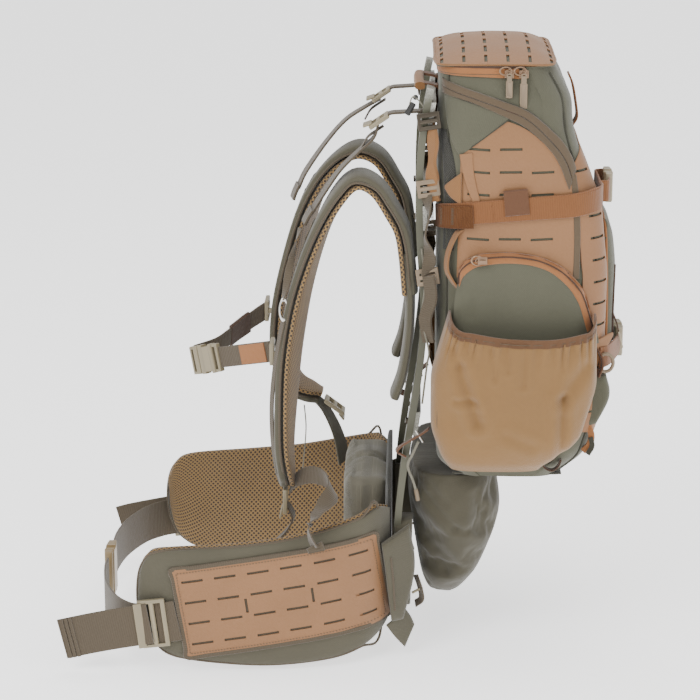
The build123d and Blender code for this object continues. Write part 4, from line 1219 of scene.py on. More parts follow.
for hand, side in SIDES:
    ends = 0.62 if hand == LEFT else 0.2
    route = []
    for k in range(26):
        s = 3.62 + (ends - 3.62) * k / 25
        z = 370 + 20 * min(1.0, k / 18)
        route.append(skin(s, z, 4.2 + (1.2 if 1 < s < 3 else 0)))
    last = Vector((303, -64 if hand == LEFT else -11, 389))
    if hand == LEFT:
        route[-2:] = [Vector((300, -84, 389.5)), last]
    else:
        route.append(last)
    piece = strap(f"compression_webbing_{side}", route, 25, 2.2, (0, 0, 1), 120)
    crisp(piece, webbing, (f"compression_strap_{side}",))
    tab = [skin(s, z, o) for s, z, o in ((3.72, 368.5, 6), (3.5, 369.5, 7.2), (3.2, 370.5, 7.5),
                                         (2.97, 371.6, 7.4))]
    crisp(strap(f"compression_sewn_tab_{side}", tab, 26.5, 2.0, (0, 0, 1), 24), webbing)
    for number, (x, z) in enumerate(((108, 369), (116, 370), (126, 371.5))):
        here = on_side(hand, x, z, 9.0)
        bartack(f"compression_stitches_{side}_{number + 1}", here, (0, 0, 1), (0, hand, 0), 20)
    hold = [on_side(hand, x, z, 5.6) for x, z in ((180, 386.2), (188, 387), (198, 388), (207, 389))]
    crisp(strap(f"compression_keeper_{side}", hold, 30, 5.0, (0, 0, 1), 12), keeper_web, slot="brown_elastic")

low_left = [(292, -133, 205), (302, -121, 205), (312, -92, 205), (320, -60, 205)]
low_right = [(292, 133, 205), (302, 121, 205), (317, 76, 205), (320, 14, 205), (320, -12, 205)]
low_left_piece = strap("lower_webbing_left", low_left, 25, 2.2, (0, 0, 1), 40)
crisp(low_left_piece, webbing, ("lower_straps",))
crisp(strap("lower_webbing_right", low_right, 25, 2.2, (0, 0, 1), 60), webbing)

# %% [markdown]
# Behind the bottle pocket the bag carries small sewn parts: a laminate wing for the lower strap, a C-shaped
# ring on a cloth tab, the end of the base zip and a loop under the floor.

# %% Small parts at the lower rear
for hand, side in SIDES:
    wing = [(284, 222), (286, 216), (287, 206), (286, 198)]
    lay = lambda point, out: Vector((point[0], hand * (134 + out - (point[0] - 286) * 0.8), point[1]))
    piece = plate(f"lower_wing_{side}", wing, [(288, 226), (308, 231), (300, 214), (288, 196)], lay, 2.4, 24,
                  14, rim=0.6)
    done(piece, laminate, smooth=30)
    arc = [(299 + 8.5 * math.cos(a), hand * 132, 199 + 10.5 * math.sin(a)) for a in [math.radians(d)
            for d in range(-140, 141, 35)]]
    done(tube(f"c_ring_{side}", arc, 2.1, 50, 10), pull_plastic)
    tab_line = [(288, hand * 131, 215), (293, hand * 132.5, 206), (294, hand * 132.5, 196),
                (290, hand * 131, 184)]
    done(strap(f"c_ring_tab_{side}", tab_line, 14, 2.2, (0.3, hand, 0), 24), keeper_web)
    bulge = lambda point, out: Vector((point[0], hand * (121 + out), point[1]))
    piece = plate(f"lower_rear_cloth_{side}", [(270, 184), (272, 150), (268, 120)], [(300, 186), (305, 158),
            (290, 124)], bulge, 14, 24, 16, rim=0.3)
    done(piece, green, fill=0.5)
    edge = [(281, hand * 131, 124), (285, hand * 131, 112), (283, hand * 129, 100), (276, hand * 127, 92)]
    done(strap(f"base_zip_end_{side}", edge, 8, 3.5, (0.9, hand * 0.3, 0.2), 30), zip_cloth)
    pull = [(284, hand * 133, 110), (286, hand * 134, 100), (281, hand * 134, 90)]
    done(strap(f"base_zip_pull_{side}", pull, 6, 2, (0.9, hand * 0.3, 0.2), 16), green_dark)
    loop = [(228, hand * 140, 82), (232, hand * 141, 76), (240, hand * 141.5, 73), (247, hand * 141, 78),
            (250, hand * 140, 86)]
    done(strap(f"floor_loop_{side}", loop, 9, 1.8, (0, hand, 0), 30), dark_web, slot="brown_webbing")
grab = [(257, 0, 512), (262, 0, 500), (266, 0, 480), (268, 0, 462), (263, 0, 452)]
crisp(strap("rear_grab_loop", grab, 22, 2.4, (0, 1, 0), 40), webbing)
print("rear parts done, pieces so far:", len(made))

# %% [markdown]
# ## Between the rails and the bag
# Webbing ties pass from the crossbars to the bag, each through a small lock. A rolled laminate sleeve fills
# the gap, a dark sheet in the spacer-mesh finish lies on the bag there as painted shade, and slack webbing
# and a thin cord hang down inside it.

# %% Ties, locks, sleeve and slack webbing
def ladder_lock(name, width, length, thick, lip=0.0):
    """A flat frame with two windows and a bar between them; a lip stands up along its front end."""
    shell = block(name, (-length / 2, -width / 2 - 4, -thick / 2), (length / 2, width / 2 + 4, thick / 2),
                  1.6, 4)
    windows = []
    for low, high in ((-length / 2 + 5.0, -2.2), (2.2, length / 2 - 5.0)):
        windows.append(block("cut", (low, -width / 2, -thick), (high, width / 2, thick), bevel=0.5))
    cut(shell, *windows)
    parts = [shell, rod("bar", (0, -width / 2 - 1, 0.3), (0, width / 2 + 1, 0.3), thick * 0.52, 14)]
    if lip:
        edge = block("lip", (length / 2 - 4.5, -width / 2 - 2, -0.4), (length / 2 + lip, width / 2 + 2,
                thick * 0.42), 1.1, 3)
        edge.data.transform(turned(-14, "Y"))
        parts.append(edge)
    return joined(name, *parts)


GAP_TIES = (478, 402, 300)
for hand, side in SIDES:
    for number, z in enumerate(GAP_TIES):
        start = lean([(300, 88), (402, 88), (478, 96)], z)
        line = [(start, hand * 112, z), (99, hand * 112, z - 0.4), (105.6, hand * 112, z)]
        crisp(strap(f"frame_tie_{side}_{number + 1}", line, 18, 2.4, (0, 1, 0), 10), belt_web,
              ("frame_ties",), slot="brown_webbing")
        lock = settle(ladder_lock(f"frame_tie_lock_{side}_{number + 1}", 18, 20, 3.4),
                      (95, hand * 130, z - 2), (0.15, 0, -1), (0, hand, 0.2))
        crisp(lock, pull_plastic if number else dark_metal, ("frame_tie_locks",), slot="tan_plastic")
    sleeve = [(99, hand * 126, 470), (100, hand * 128, 445), (99, hand * 128, 415), (103, hand * 128, 385)]
    width = lambda t: 0.75 + 0.35 * math.sin(t * 7.0) ** 2
    done(strap(f"laminate_sleeve_{side}", sleeve, 15, 6.0, (1, hand * 0.4, 0.1), 50, width,
               lambda t: 24 * math.sin(t * 5)), tan_cloth)
    # A dark sheet in the spacer-mesh finish on the bag's side: painted shade in the gap between rail and bag.
    gap_shade_sheet = plate(f"painted_gap_shade_sheet_{side}", [(112, 330), (113, 380), (112, 425), (109, 466)],
                   [(124, 330), (129, 372), (125, 425), (115, 466)],
                   laid_on(hand, 0.3), 1.6, 50, 12, rim=0.4)
    done(gap_shade_sheet, spacer, smooth=40)
    hang = [(93, hand * 130, 392), (96, hand * 133, 368), (92, hand * 132, 345), (97, hand * 134, 322),
            (94, hand * 131, 300)]
    done(strap(f"gap_webbing_{side}", hang, 15, 2.0, (1, hand * 0.5, 0), 60, None,
               lambda t: 70 * math.sin(t * 4.2)), belt_web)
    hang = [(96, hand * 134, 300), (99, hand * 136, 275), (93, hand * 134, 250), (97, hand * 133, 222)]
    done(strap(f"gap_keeper_{side}", hang, 17, 4.0, (1, hand * 0.6, 0), 40), belt_web)
    cord = [(88, hand * 127, 330), (92, hand * 131, 290), (89, hand * 130, 250), (97, hand * 138, 214),
            (95, hand * 139, 196), (90, hand * 136, 150)]
    done(tube(f"gap_cord_{side}", cord, 1.2, 100), pad_cloth)
    flap = plate(f"frame_flap_{side}", [(100, 168), (102, 140), (112, 112)], [(101, 178), (113, 186),
            (119, 190)],
                 lambda point, out: Vector((point[0], hand * (150 + out), point[1])), 2.0, 24, 16, rim=0.6)
    done(flap, tan_cloth, smooth=30)
    glide = settle(ladder_lock(f"tri_glide_{side}", 14, 14, 2.4), (87, hand * 140, 112), (0.8, 0, 0.5),
                   (0, hand, 0.2))
    crisp(glide, bright_metal)
    loop = [(98, hand * 142, 122), (88, hand * 140, 114), (76, hand * 138, 106), (66, hand * 134, 98),
            (62, hand * 130, 90), (72, hand * 132, 84)]
    done(strap(f"frame_loop_{side}", loop, 12, 2.0, (0.2, hand, 0.3), 60), keeper_web)
    pull = [(86, hand * 141, 106), (80, hand * 141, 92), (74, hand * 139, 76), (80, hand * 138, 58),
            (84, hand * 137, 44)]
    done(tube(f"pull_cord_{side}", pull, 1.5, 60), pad_cloth)
    tip = rod(f"pull_cord_tip_{side}", (83.5, hand * 137, 47), (86, hand * 136.5, 33), 2.6, 14, 0.8)
    done(tip, pull_plastic)
white_string = [(96, -121, 472), (88, -121, 492), (78, -120, 502), (74, -119, 496), (73, -118, 490)]
done(tube("toggle_string", white_string, 0.8, 50, 6), pad_cloth)

# %% Haul handle
grip = frames_along(smooth_line([(85, -48, 503), (84, -24, 504.5), (83.6, 0, 505), (84, 24, 504.5),
                                 (85, 48, 503)], 60), (1, 0, 0))
grip_piece = sweep("haul_handle_grip", grip, lambda t: pad_section(11.5, 4.6, 4.2, 10, 0.4))
done(grip_piece, tan_cloth, ("haul_handle",), body="haul_handle", smooth=50)
for hand, side in SIDES:
    line = [(84, hand * 38, 506.5), (92, hand * 38, 505), (100, hand * 38, 503.5), (104.5, hand * 38, 502)]
    crisp(strap(f"haul_handle_leg_{side}", line, 19, 2.8, (0, 1, 0), 24), keeper_web, body="haul_handle")
    line = [(104.5, hand * 38, 504), (107.5, hand * 38, 496), (104.6, hand * 38, 484),
            (104.2, hand * 38, 471)]
    crisp(strap(f"haul_handle_anchor_{side}", line, 18, 2.2, (0, 1, 0), 24), keeper_web)

# %% [markdown]
# ## Shoulder straps
# Each strap is one long foam pad: grey-green cloth outside with bound edges, and open gold mesh against
# the wearer. The pad is shaped bent where the harness meets the frame, and the whole strap is left on no
# body. The upper webbing of the load lifter lies along its outer face down to a sewn tab.

# %% Pads, mesh and bindings
STRAP_Y = 95
LINES = {"left": [(-67, 40), (-71, 82), (-69, 141), (-64, 202), (-52, 270), (-33, 332), (-11, 379), (12, 404),
                  (36, 396), (56, 366), (66, 346), (71, 318), (75, 274)],
         "right": [(-36, 92), (-68, 108), (-84, 146), (-82, 202), (-69, 265), (-49, 334), (-24, 380),
                   (8, 404), (36, 396), (56, 366), (66, 346), (71, 318), (75, 274)]}


def bend_at_hinge(piece, material, slot, nodes=(), smooth=40, fill=None):
    """Finish a piece that runs from the harness over to the frame."""
    done(piece, material, nodes, body="harness", slot=slot, smooth=smooth, fill=fill)
    piece.parent = None
    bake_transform(piece)
    return piece


for hand, side in SIDES:
    line = smooth_line([(x, hand * STRAP_Y, z) for x, z in LINES[side]], 150)
    lean_by, lean_over = (-13, 1.5) if hand == LEFT else (-16, 1.4)
    lean_in = lambda t: lean_by * math.sin(min(1.0, t * lean_over) * math.pi)
    stations = frames_along(line, (0, -1, 0), lean_in)
    taper = lambda t: between(t, [(0.0, 0.5), (0.03, 0.86), (0.08, 1.0), (0.9, 1.0), (1.0, 0.9)])
    pad = sweep(f"shoulder_pad_{side}", stations,
                lambda t: [(a, b + 3.2) for a, b in pad_section(58 * taper(t), 6.4, 5.6, 14, 0.3)])
    bend_at_hinge(pad, strap_cloth, "grey_fabric", (f"strap_front_{side}",), fill=0.8)
    lining = sweep(f"shoulder_mesh_{side}", stations,
                   lambda t: [(a, b - 6.4) for a, b in pad_section(62 * taper(t), 4.2, 3.2, 14, 0.42)])
    bend_at_hinge(lining, gold_mesh, "gold_mesh", ("strap_liners",), fill=0.7)
    for edge in (-1, 1):
        path = [place + across * edge * 29.2 * taper(k / 150) + out * 0.6
                for k, (place, across, out) in enumerate(stations)]
        bind = tube(f"shoulder_binding_{side}_{'inner' if edge < 0 else 'outer'}", path[1:-1:7], 1.5, 150, 8)
        bend_at_hinge(bind, belt_web, "grey_webbing")
    centre = [place + out * 10.0 for place, across, out in stations[4:92]]
    across_at = lambda t: stations[4 + round(t * 87)][1]
    piece = strap(f"shoulder_centre_webbing_{side}", centre[::6], 20, 1.8, across_at, 110)
    crisp(piece, strap_cloth, body="harness", slot="grey_webbing")
    for number in range(9):
        place, across, out = stations[10 + 9 * number]
        run = out.cross(across)
        bartack(f"shoulder_bartack_{side}_{number + 1}", place + out * 10.9, across, out, 18, body="harness")
    rear_line = [(71, hand * STRAP_Y, 322), (75, hand * STRAP_Y, 274), (74, hand * STRAP_Y, 226),
                 (67, hand * STRAP_Y, 178), (58, hand * STRAP_Y, 150)]
    rear_stations = frames_along(smooth_line(rear_line, 50), (0, -1, 0))
    rear_pad = sweep(f"shoulder_yoke_{side}", rear_stations, lambda t: pad_section(55, 6.0, 5.8, 12, 0.35))
    done(rear_pad, strap_cloth, ("strap_rears",), fill=0.7)

# %% Load lifters
for hand, side in SIDES:
    y = hand * STRAP_Y
    rear_line = [(90, y, 482), (80, y, 482), (66, y, 481), (53, y, 480), (46, y, 477)]
    rear_web = strap(f"lifter_webbing_rear_{side}", rear_line, 20, 2.3, (0, 1, 0), 30)
    crisp(rear_web, belt_web, ("lifter_webbing_rear",))
    lock = settle(ladder_lock(f"lifter_lock_{side}", 20, 26, 5, lip=6), (39, y, 471), (-0.829, 0, -0.559),
                  (-0.559, 0, 0.829))
    crisp(lock, plastic, ("lifter_locks",))
    if hand == LEFT:
        route = [(38, y, 466), (33, y, 452), (17, y, 437), (-5, y, 415), (-24, y - 1, 388), (-38, y - 1, 366)]
    else:
        route = [(38, y, 466), (20, y, 456), (-4, y, 440), (-27, y, 414), (-52, y, 378), (-62, y, 357)]
    piece = strap(f"lifter_webbing_front_{side}", route, 20, 2.3, (0, 1, 0.0), 80, None, lambda t: -12 * t)
    crisp(piece, belt_web, ("lifter_webbing_front",), body="harness")
    piece.parent = None
    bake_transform(piece)
    end = Vector(route[-1])
    run = (end - Vector(route[-2])).normalized()
    tab = [end - run * 4 + Vector((-1.5, 0, 0)), end + run * 8 + Vector((-1.2, 0, 0)),
           end + run * 16 + Vector((0, 0, 0))]
    crisp(strap(f"lifter_sewn_tab_{side}", tab, 22, 3.2, (0, 1, 0), 14, None, lambda t: -12), belt_web,
          body="harness")
    tail = [(44, y, 465), (35, y + hand, 459), (26, y + hand, 452), (19, y, 440)]
    done(strap(f"lifter_tail_{side}", tail, 8, 1.2, (0, 1, 0.2), 30), belt_web)
thin = [(-50, -114, 350), (-58, -117, 324), (-63, -118, 301), (-67, -119, 282), (-70, -120, 268)]
done(strap("keeper_webbing_thin", thin, 9, 1.4, (0.7, -1, 0), 60, None, lambda t: 200 * t), belt_web,
     body="harness")
ring = ring_of("strap_ring_left", (-69, -121, 256), (0.25, -1, 0.1), 6.4, 1.3)
ring.data.transform(at((-69, -121, 256)) @ Matrix.Diagonal((0.75, 1, 1.9, 1))
                    @ Matrix.Translation(Vector((-69, -121, 256)) * -MM))
done(ring, bright_metal, body="harness", smooth=60)
lower = [(-70, -120, 243), (-75, -119, 217), (-80, -117, 186), (-84, -114, 144), (-84, -108, 99),
         (-80, -98, 57), (-75, -95, 38)]
done(strap("keeper_webbing_lower", lower, 9, 1.6, (0.6, -1, 0), 80), belt_web, body="harness")

# %% [markdown]
# The lower end of each strap has a ladder lock. Its adjuster webbing runs down to the belt, and on the near
# side the free tail loops over the belt wing with a slow twist and a folded hem.

# %% Adjusters and the twisted tail
low_lock = settle(ladder_lock("strap_lock_left", 20, 30, 5, lip=7), (-70, -95, 20), (0, 0, -1), (-1, 0, 0))
crisp(low_lock, plastic, ("strap_locks",), body="harness")
low_lock = settle(ladder_lock("strap_lock_right", 20, 30, 5, lip=5), (-18, 95, 80), (0.8, 0, -0.6),
                  (-0.6, 0, -0.8))
crisp(low_lock, plastic, body="harness")
pull = [(-71, -95, 16), (-64, -96, 8), (-61, -97, -4), (-70, -98, -20), (-86, -98, -36)]
piece = strap("adjuster_webbing_left", pull, 20, 2.2, (0.1, 1, 0), 60)
crisp(piece, belt_web, ("strap_adjuster_webbing",), body="harness")
pull = [(-58, 95, 99), (-36, 95, 84), (-22, 95, 62), (-12, 95, 36), (-6, 97, 6)]
crisp(strap("adjuster_webbing_right", pull, 24, 2.2, (0.1, 1, 0), 70, None, lambda t: 30 * t), strap_cloth,
      body="harness", slot="grey_webbing")
tail = [(-64, -97, 34), (-55, -106, 48), (-39, -120, 58), (-24, -138, 60), (-14, -156, 56), (-13, -170, 51),
        (-21, -184, 43), (-31, -194, 33), (-38, -199, 21), (-36, -202, 8), (-31, -203, -2)]
TAIL_TURN = [(0.0, 0), (0.3, 20), (0.55, 62), (0.75, 105), (1.0, 80)]
tail_piece = strap("free_tail_left", tail, 20, 1.7, (0.4, 0.3, 0.9), 140, None,
                   lambda t: between(t, TAIL_TURN))
crisp(tail_piece, belt_web, body="harness")
hem = strap("free_tail_hem", [(-32, -203.4, 1), (-30, -204, -3), (-29, -204.2, -7)], 20, 3.4, (1, 0, 0.15),
            10)
crisp(hem, belt_web, body="harness")
cord = [(-56, 95, 80), (-54, 96, 50), (-57, 96, 10), (-60, 96, -20)]
done(tube("thin_adjuster_cord", cord, 0.8, 50, 6), pad_cloth, body="harness")

# %% [markdown]
# ## Sternum strap
# Sliders clip round the piping of each strap. Webbing runs from the far slider through a dark keeper to the
# buckle, and from the near slider through a blank cloth patch.

# %% Sternum webbing, sliders, patch and buckle
NEAR = Vector((-84, -95, 200))
TIP = Vector((-186, -14, 166))
arm = (TIP - NEAR).normalized()
arm_normal = Vector((arm.y, -arm.x, 0)).normalized()
mate = NEAR + arm * ((TIP - NEAR).length - 18)
for number, (side, place) in enumerate((("left", (-84, -95, 200)), ("right", (-101, 95, 204)))):
    clip = block(f"sternum_slider_{side}", (-2.6, -16, -13), (2.6, 16, 13), 1.4, 3)
    cut(clip, block("cut", (-9, -11, -9.5), (9, 11, -4.5), bevel=0.6), block("cut", (-9, -11, 4.5),
            (9, 11, 9.5), bevel=0.6))
    hook = block("hook", (2.0, -15, -3), (6.5, -9, 3), 1.0, 2)
    clip = joined(clip.name, clip, hook)
    clip.data.transform(at(place))
    crisp(clip, plastic, ("sternum_sliders",), body="sternum")
near_line = [NEAR + arm * d for d in (2, 30, 62, (TIP - NEAR).length - 18 - 26)]
near_web = strap("sternum_webbing_near", near_line, 25, 2.2, Vector((0, 0, 1)), 40)
crisp(near_web, belt_web, ("sternum_webbing",), body="sternum", slot="brown_webbing")
patch = strap("sternum_patch", [NEAR + arm * d + arm_normal * -1.9 for d in (10, 30, 50)], 23, 1.6,
              Vector((0, 0, 1)), 24)
crisp(patch, zip_cloth, body="sternum")
far = [(-102, 88, 203), (-116, 76, 196), (-132, 58, 188), (-146, 36, 181), (-160, 20, 174),
       TIP + Vector((2, 14, 4))]
far_web = strap("sternum_webbing_far", far, 25, 2.2, (0.3, 0, 1), 60)
crisp(far_web, belt_web, body="sternum_plug", slot="brown_webbing")
far_web.parent = None
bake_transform(far_web)
keeper = strap("sternum_keeper", [(-122, 69, 193), (-132, 57, 188), (-143, 41, 182.5)], 31, 5.0, (0.3, 0, 1),
               16)
crisp(keeper, dark_web, body="sternum", slot="brown_elastic")
keeper.parent = None
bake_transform(keeper)
buckle("sternum_buckle", mate, arm, arm_normal, 35, 10, "sternum", "sternum_plug",
       "sternum_buckle_socket", "sternum_buckle_plug", plastic)

# %% [markdown]
# ## Hip belt
# Two broad wings curve forward from the frame. Outside they are grey-green cloth with a bound panel of
# slotted laminate; inside they are thick spacer padding under gold mesh, which shows as piping along the
# top edge. Both are plates that follow the belt's plan line.

# %% The belt's plan
BELT = [(-246, -174), (-240, -178), (-190, -190), (-110, -189), (-40, -183), (-4, -175), (28, -161),
        (46, -140), (55, -116)]


def belt_place(hand, x, z, out=0.0):
    """A place on the belt's outer face by its X and Z, moved outwards."""
    y = lean(BELT, x)
    step = 2.0
    slope = (lean(BELT, x + step) - lean(BELT, x - step)) / (2 * step)
    normal = Vector((slope, -1.0)).normalized()
    bow = 0.8 * noise.noise(Vector((x * 0.02, z * 0.03, hand * 2)))
    return Vector((x + normal.x * (out + bow), -hand * (y + normal.y * (out + bow)), z))


WING_TOP = [(-236, -44), (-226, -24), (-206, -14), (-130, -8), (-68, -1), (-20, 9), (20, 20), (40, 27),
            (54, 20)]
WING_LOW = [(-238, -78), (-232, -106), (-218, -128), (-188, -143), (-97, -152), (-21, -148), (20, -138),
            (44, -124), (54, -112)]


def shrink(points, margin, middle=-64):
    return [(x + (margin if x < -200 else 0), z - margin if z > middle else z + margin) for x, z in points]


for hand, side in SIDES:
    outer = lambda point, out: belt_place(hand, point[0], point[1], out - 3.6)
    shell = plate(f"belt_wing_cloth_{side}", WING_LOW, WING_TOP, outer, 7.2, 90, 36, rim=0.42)
    done(shell, strap_cloth, (f"belt_wing_{side}",), fill=0.8)
    inner = lambda point, out: belt_place(hand, point[0], point[1], -4.4 - out)
    lining = plate(f"belt_mesh_{side}", shrink(WING_LOW, 1), shrink(WING_TOP, -2), inner, 7.0, 100, 46,
                   rim=0.62)
    done(lining, gold_mesh, ("belt_liners",), fill=0.8)
    path = [belt_place(hand, x, z + 0.6, -4.6) for x, z in WING_TOP[:-1]]
    done(tube(f"belt_mesh_piping_{side}", path, 2.5, 120, 8), gold_mesh)
    ring = WING_TOP[:-1] + WING_LOW[::-1][1:]
    path = [belt_place(hand, x, z, -0.6) for x, z in ring]
    done(tube(f"belt_edge_binding_{side}", path, 1.5, 200, 8, closed=True), belt_web)
print("belt wings done")

# %% [markdown]
# The laminate panel is flat-cut: four rows of slots, two upright slots and a stitched binding round it.

# %% Slotted belt panel and its binding
PANEL_CENTRE, PANEL_TILT = Vector((-73, -71)), math.radians(8.5)
PANEL_LONG, PANEL_HIGH = 232, 108
PITCH_LONG, PITCH_HIGH = 38.1, 25.4


def on_panel(along, up):
    """Panel coordinates to the belt's X and Z."""
    return (PANEL_CENTRE.x + along * math.cos(PANEL_TILT) - up * math.sin(PANEL_TILT),
            PANEL_CENTRE.y + along * math.sin(PANEL_TILT) + up * math.cos(PANEL_TILT))


for hand, side in SIDES:
    face = lambda point, out: belt_place(hand, point[0], point[1], out + 4.1)
    spots = [-1, -0.6, -0.2, 0.2, 0.6, 1]
    low = [on_panel(PANEL_LONG / 2 * s, -PANEL_HIGH / 2) for s in spots]
    high = [on_panel(PANEL_LONG / 2 * s, PANEL_HIGH / 2) for s in spots]
    panel = plate(f"belt_laminate_{side}", low, high, face, 1.7, 90, 40, rim=0.85)
    tools = []
    cells = [(c - 2.5, r - 1.5, 25, 3) for c in range(6) for r in range(4)]
    cells += [(c, 0, 3, PITCH_HIGH - 8) for c in (-1, 1)]
    for c, r, long, high_cut in cells:
        x, z = on_panel(c * PITCH_LONG, r * PITCH_HIGH)
        here = belt_place(hand, x, z, 4.8)
        run = belt_place(hand, x + 3 * math.cos(PANEL_TILT), z + 3 * math.sin(PANEL_TILT), 4.8) - here
        out = belt_place(hand, x, z, 9) - here
        tool = block("slot_tool", (-long / 2, -high_cut / 2, -1.6), (long / 2, high_cut / 2, 5), bevel=0)
        tools.append(settle(tool, here, run, out))
    cut(panel, *tools)
    done(panel, laminate, ("belt_panels",), smooth=30)
    backing = plate(f"belt_panel_backing_{side}", low, [on_panel(PANEL_LONG / 2 * s, PANEL_HIGH / 2)
            for s in spots],
                    lambda point, out: belt_place(hand, point[0], point[1], out + 3.3), 0.9, 40, 20, rim=0.9)
    done(backing, belt_web, slot="grey_fabric")
    corners = [(-1, -1), (1, -1), (1, 1), (-1, 1)]
    ring = []
    for (a, b), (c, d) in zip(corners, corners[1:] + corners[:1]):
        for k in range(10):
            p = on_panel((a + (c - a) * k / 10) * PANEL_LONG / 2, (b + (d - b) * k / 10) * PANEL_HIGH / 2)
            ring.append(belt_place(hand, *p, 4.6))
    normal_at = lambda t: belt_place(hand, -73, -71, 10) - belt_place(hand, -73, -71, 0)
    edge = frames_along(smooth_line(ring, 240, closed=True), normal_at)
    done(sweep(f"belt_panel_binding_{side}", edge,
               lambda t: [(b, a) for a, b in reversed(flat_section(6.0, 2.8, 3))]), belt_web)
    stitches = []
    for a, b in (((-1, -1), (1, -1)), ((1, -1), (1, 1)), ((1, 1), (-1, 1)), ((-1, 1), (-1, -1))):
        count = 64 if a[1] == b[1] else 30
        for k in range(count):
            part = (k + 0.5) / count
            p = on_panel((a[0] + (b[0] - a[0]) * part) * (PANEL_LONG / 2 - 4.6),
                         (a[1] + (b[1] - a[1]) * part) * (PANEL_HIGH / 2 - 4.6))
            here = belt_place(hand, *p, 5.9)
            size = (0.9, 0.6, 0.35) if a[1] == b[1] else (0.35, 0.6, 0.9)
            put_down()
            stitches.append((here, size))
    rows = block(f"belt_panel_stitching_{side}", *[tuple(c + s * h for c, h in zip(stitches[0][0],
            stitches[0][1])) for s in (-1, 1)], bevel=0)
    spots3, faces = [], []
    for here, size in stitches:
        first = len(spots3)
        for sx, sy, sz in ((-1, -1, -1), (1, -1, -1), (1, 1, -1), (-1, 1, -1), (-1, -1, 1), (1, -1, 1),
                           (1, 1, 1), (-1, 1, 1)):
            spots3.append((here + Vector((sx * size[0], sy * size[1], sz * size[2]))) * MM)
        for face_points in ((0, 3, 2, 1), (4, 5, 6, 7), (0, 1, 5, 4), (1, 2, 6, 5), (2, 3, 7, 6),
                            (3, 0, 4, 7)):
            faces.append(tuple(first + i for i in face_points))
    rows.data.clear_geometry()
    rows.data.from_pydata(spots3, [], faces)
    done(rows, thread, slot="grey_webbing", smooth=20)

# %% [markdown]
# Behind the wing, a small padded pocket and a flap close the belt on to the frame.

# %% Belt rear pocket, flap and back
for hand, side in SIDES:
    rear_lay = lambda point, out: Vector((point[0], hand * (lean([(30, 160), (50, 152), (66, 142), (82, 132)],
            point[0]) + out - 2), point[1]))
    piece = plate(f"belt_rear_pocket_{side}", [(44, -14), (50, -60), (56, -112)],
                  [(76, 4), (83, -50), (70, -112)], rear_lay, 11, 44, 22, rim=0.35)
    done(piece, strap_cloth, fill=0.6)
    path = [rear_lay((x, z), 11) for x, z in ((55, -30), (58, -60), (60, -96))]
    done(tube(f"belt_rear_piping_{side}", path, 1.4, 50), belt_web)
    piece = plate(f"belt_lower_flap_{side}", [(50, -116), (60, -132), (72, -148)], [(72, -100), (79, -112),
            (83, -122)], rear_lay, 5, 30, 16, rim=0.5)
    done(piece, strap_cloth, fill=0.5)
    sleeve = plate(f"rail_sleeve_{side}", [(58, -104), (78, -104)], [(58, 4), (80, 4)],
                   lambda point, out: Vector((point[0], hand * (95 - 1.5 + out), point[1])), 34.8, 24, 20,
                   rim=0.5)
    done(sleeve, strap_cloth, ("belt_back",), fill=0.7)
    small = settle(ladder_lock(f"belt_small_lock_{side}", 12, 13, 3), (86, hand * 124, -82), (0.5, 0, -0.86),
                   (0, hand, 0))
    crisp(small, plastic)
    line = [(84, hand * 121, -64), (89, hand * 124.5, -78), (91, hand * 124.5, -92), (84, hand * 121, -100)]
    done(strap(f"belt_small_webbing_{side}", line, 11, 1.8, (0.6, hand, 0), 30), belt_web)
back_lay = lambda point, out: Vector((54.5 - out * 1.0, point[0], point[1]))
belt_back = plate("belt_back_cloth", [(-118, -110), (0, -112), (118, -110)], [(-118, 40), (-60, 56), (60, 56),
        (118, 40)], back_lay, 7.0, 60, 24, rim=0.5)
done(belt_back, spacer, fill=0.6)

# %% [markdown]
# ## Lumbar pad and load sack by simulation
# The lumbar pad is stuffed and the load sack is a slack bag, so their crowns and puckers come from a short
# cloth simulation: an even mesh is blown up a little with no gravity, and each point's travel is capped.
# The same steps give the same shape every run. Seams are added afterwards.

# %% Blow-up helper
def blown(piece, voxel, pressure, cap, frames=20, pinned=None, stiff=12.0):
    """Remesh evenly, inflate with Cloth, cap the travel, apply and smooth."""
    pick_up(piece)
    piece.data.remesh_voxel_size = voxel * MM
    bpy.ops.object.voxel_remesh()
    start = [v.co.copy() for v in piece.data.vertices]
    if pinned:
        group = piece.vertex_groups.new(name="held")
        group.add([v.index for v in piece.data.vertices if pinned(v.co / MM)], 1.0, "REPLACE")
    step = piece.modifiers.new("cloth", "CLOTH")
    step.settings.use_pressure = True
    step.settings.uniform_pressure_force = pressure
    step.settings.tension_stiffness = step.settings.compression_stiffness = stiff
    step.settings.shrink_min = -0.06
    step.settings.effector_weights.gravity = 0
    if pinned:
        step.settings.vertex_group_mass = "held"
    step.point_cache.frame_start, step.point_cache.frame_end = 1, frames
    for number in range(1, frames + 1):
        bpy.context.scene.frame_set(number)
    shape = piece.evaluated_get(bpy.context.evaluated_depsgraph_get()).to_mesh()
    moved = [v.co.copy() for v in shape.vertices]
    piece.modifiers.remove(step)
    bpy.context.scene.frame_set(1)
    for vertex, old, new in zip(piece.data.vertices, start, moved):
        travel = new - old
        if travel.length > cap * MM:
            travel = travel.normalized() * cap * MM
        vertex.co = old + travel
    modify(piece, "SUBSURF", levels=1, render_levels=1)
    return piece


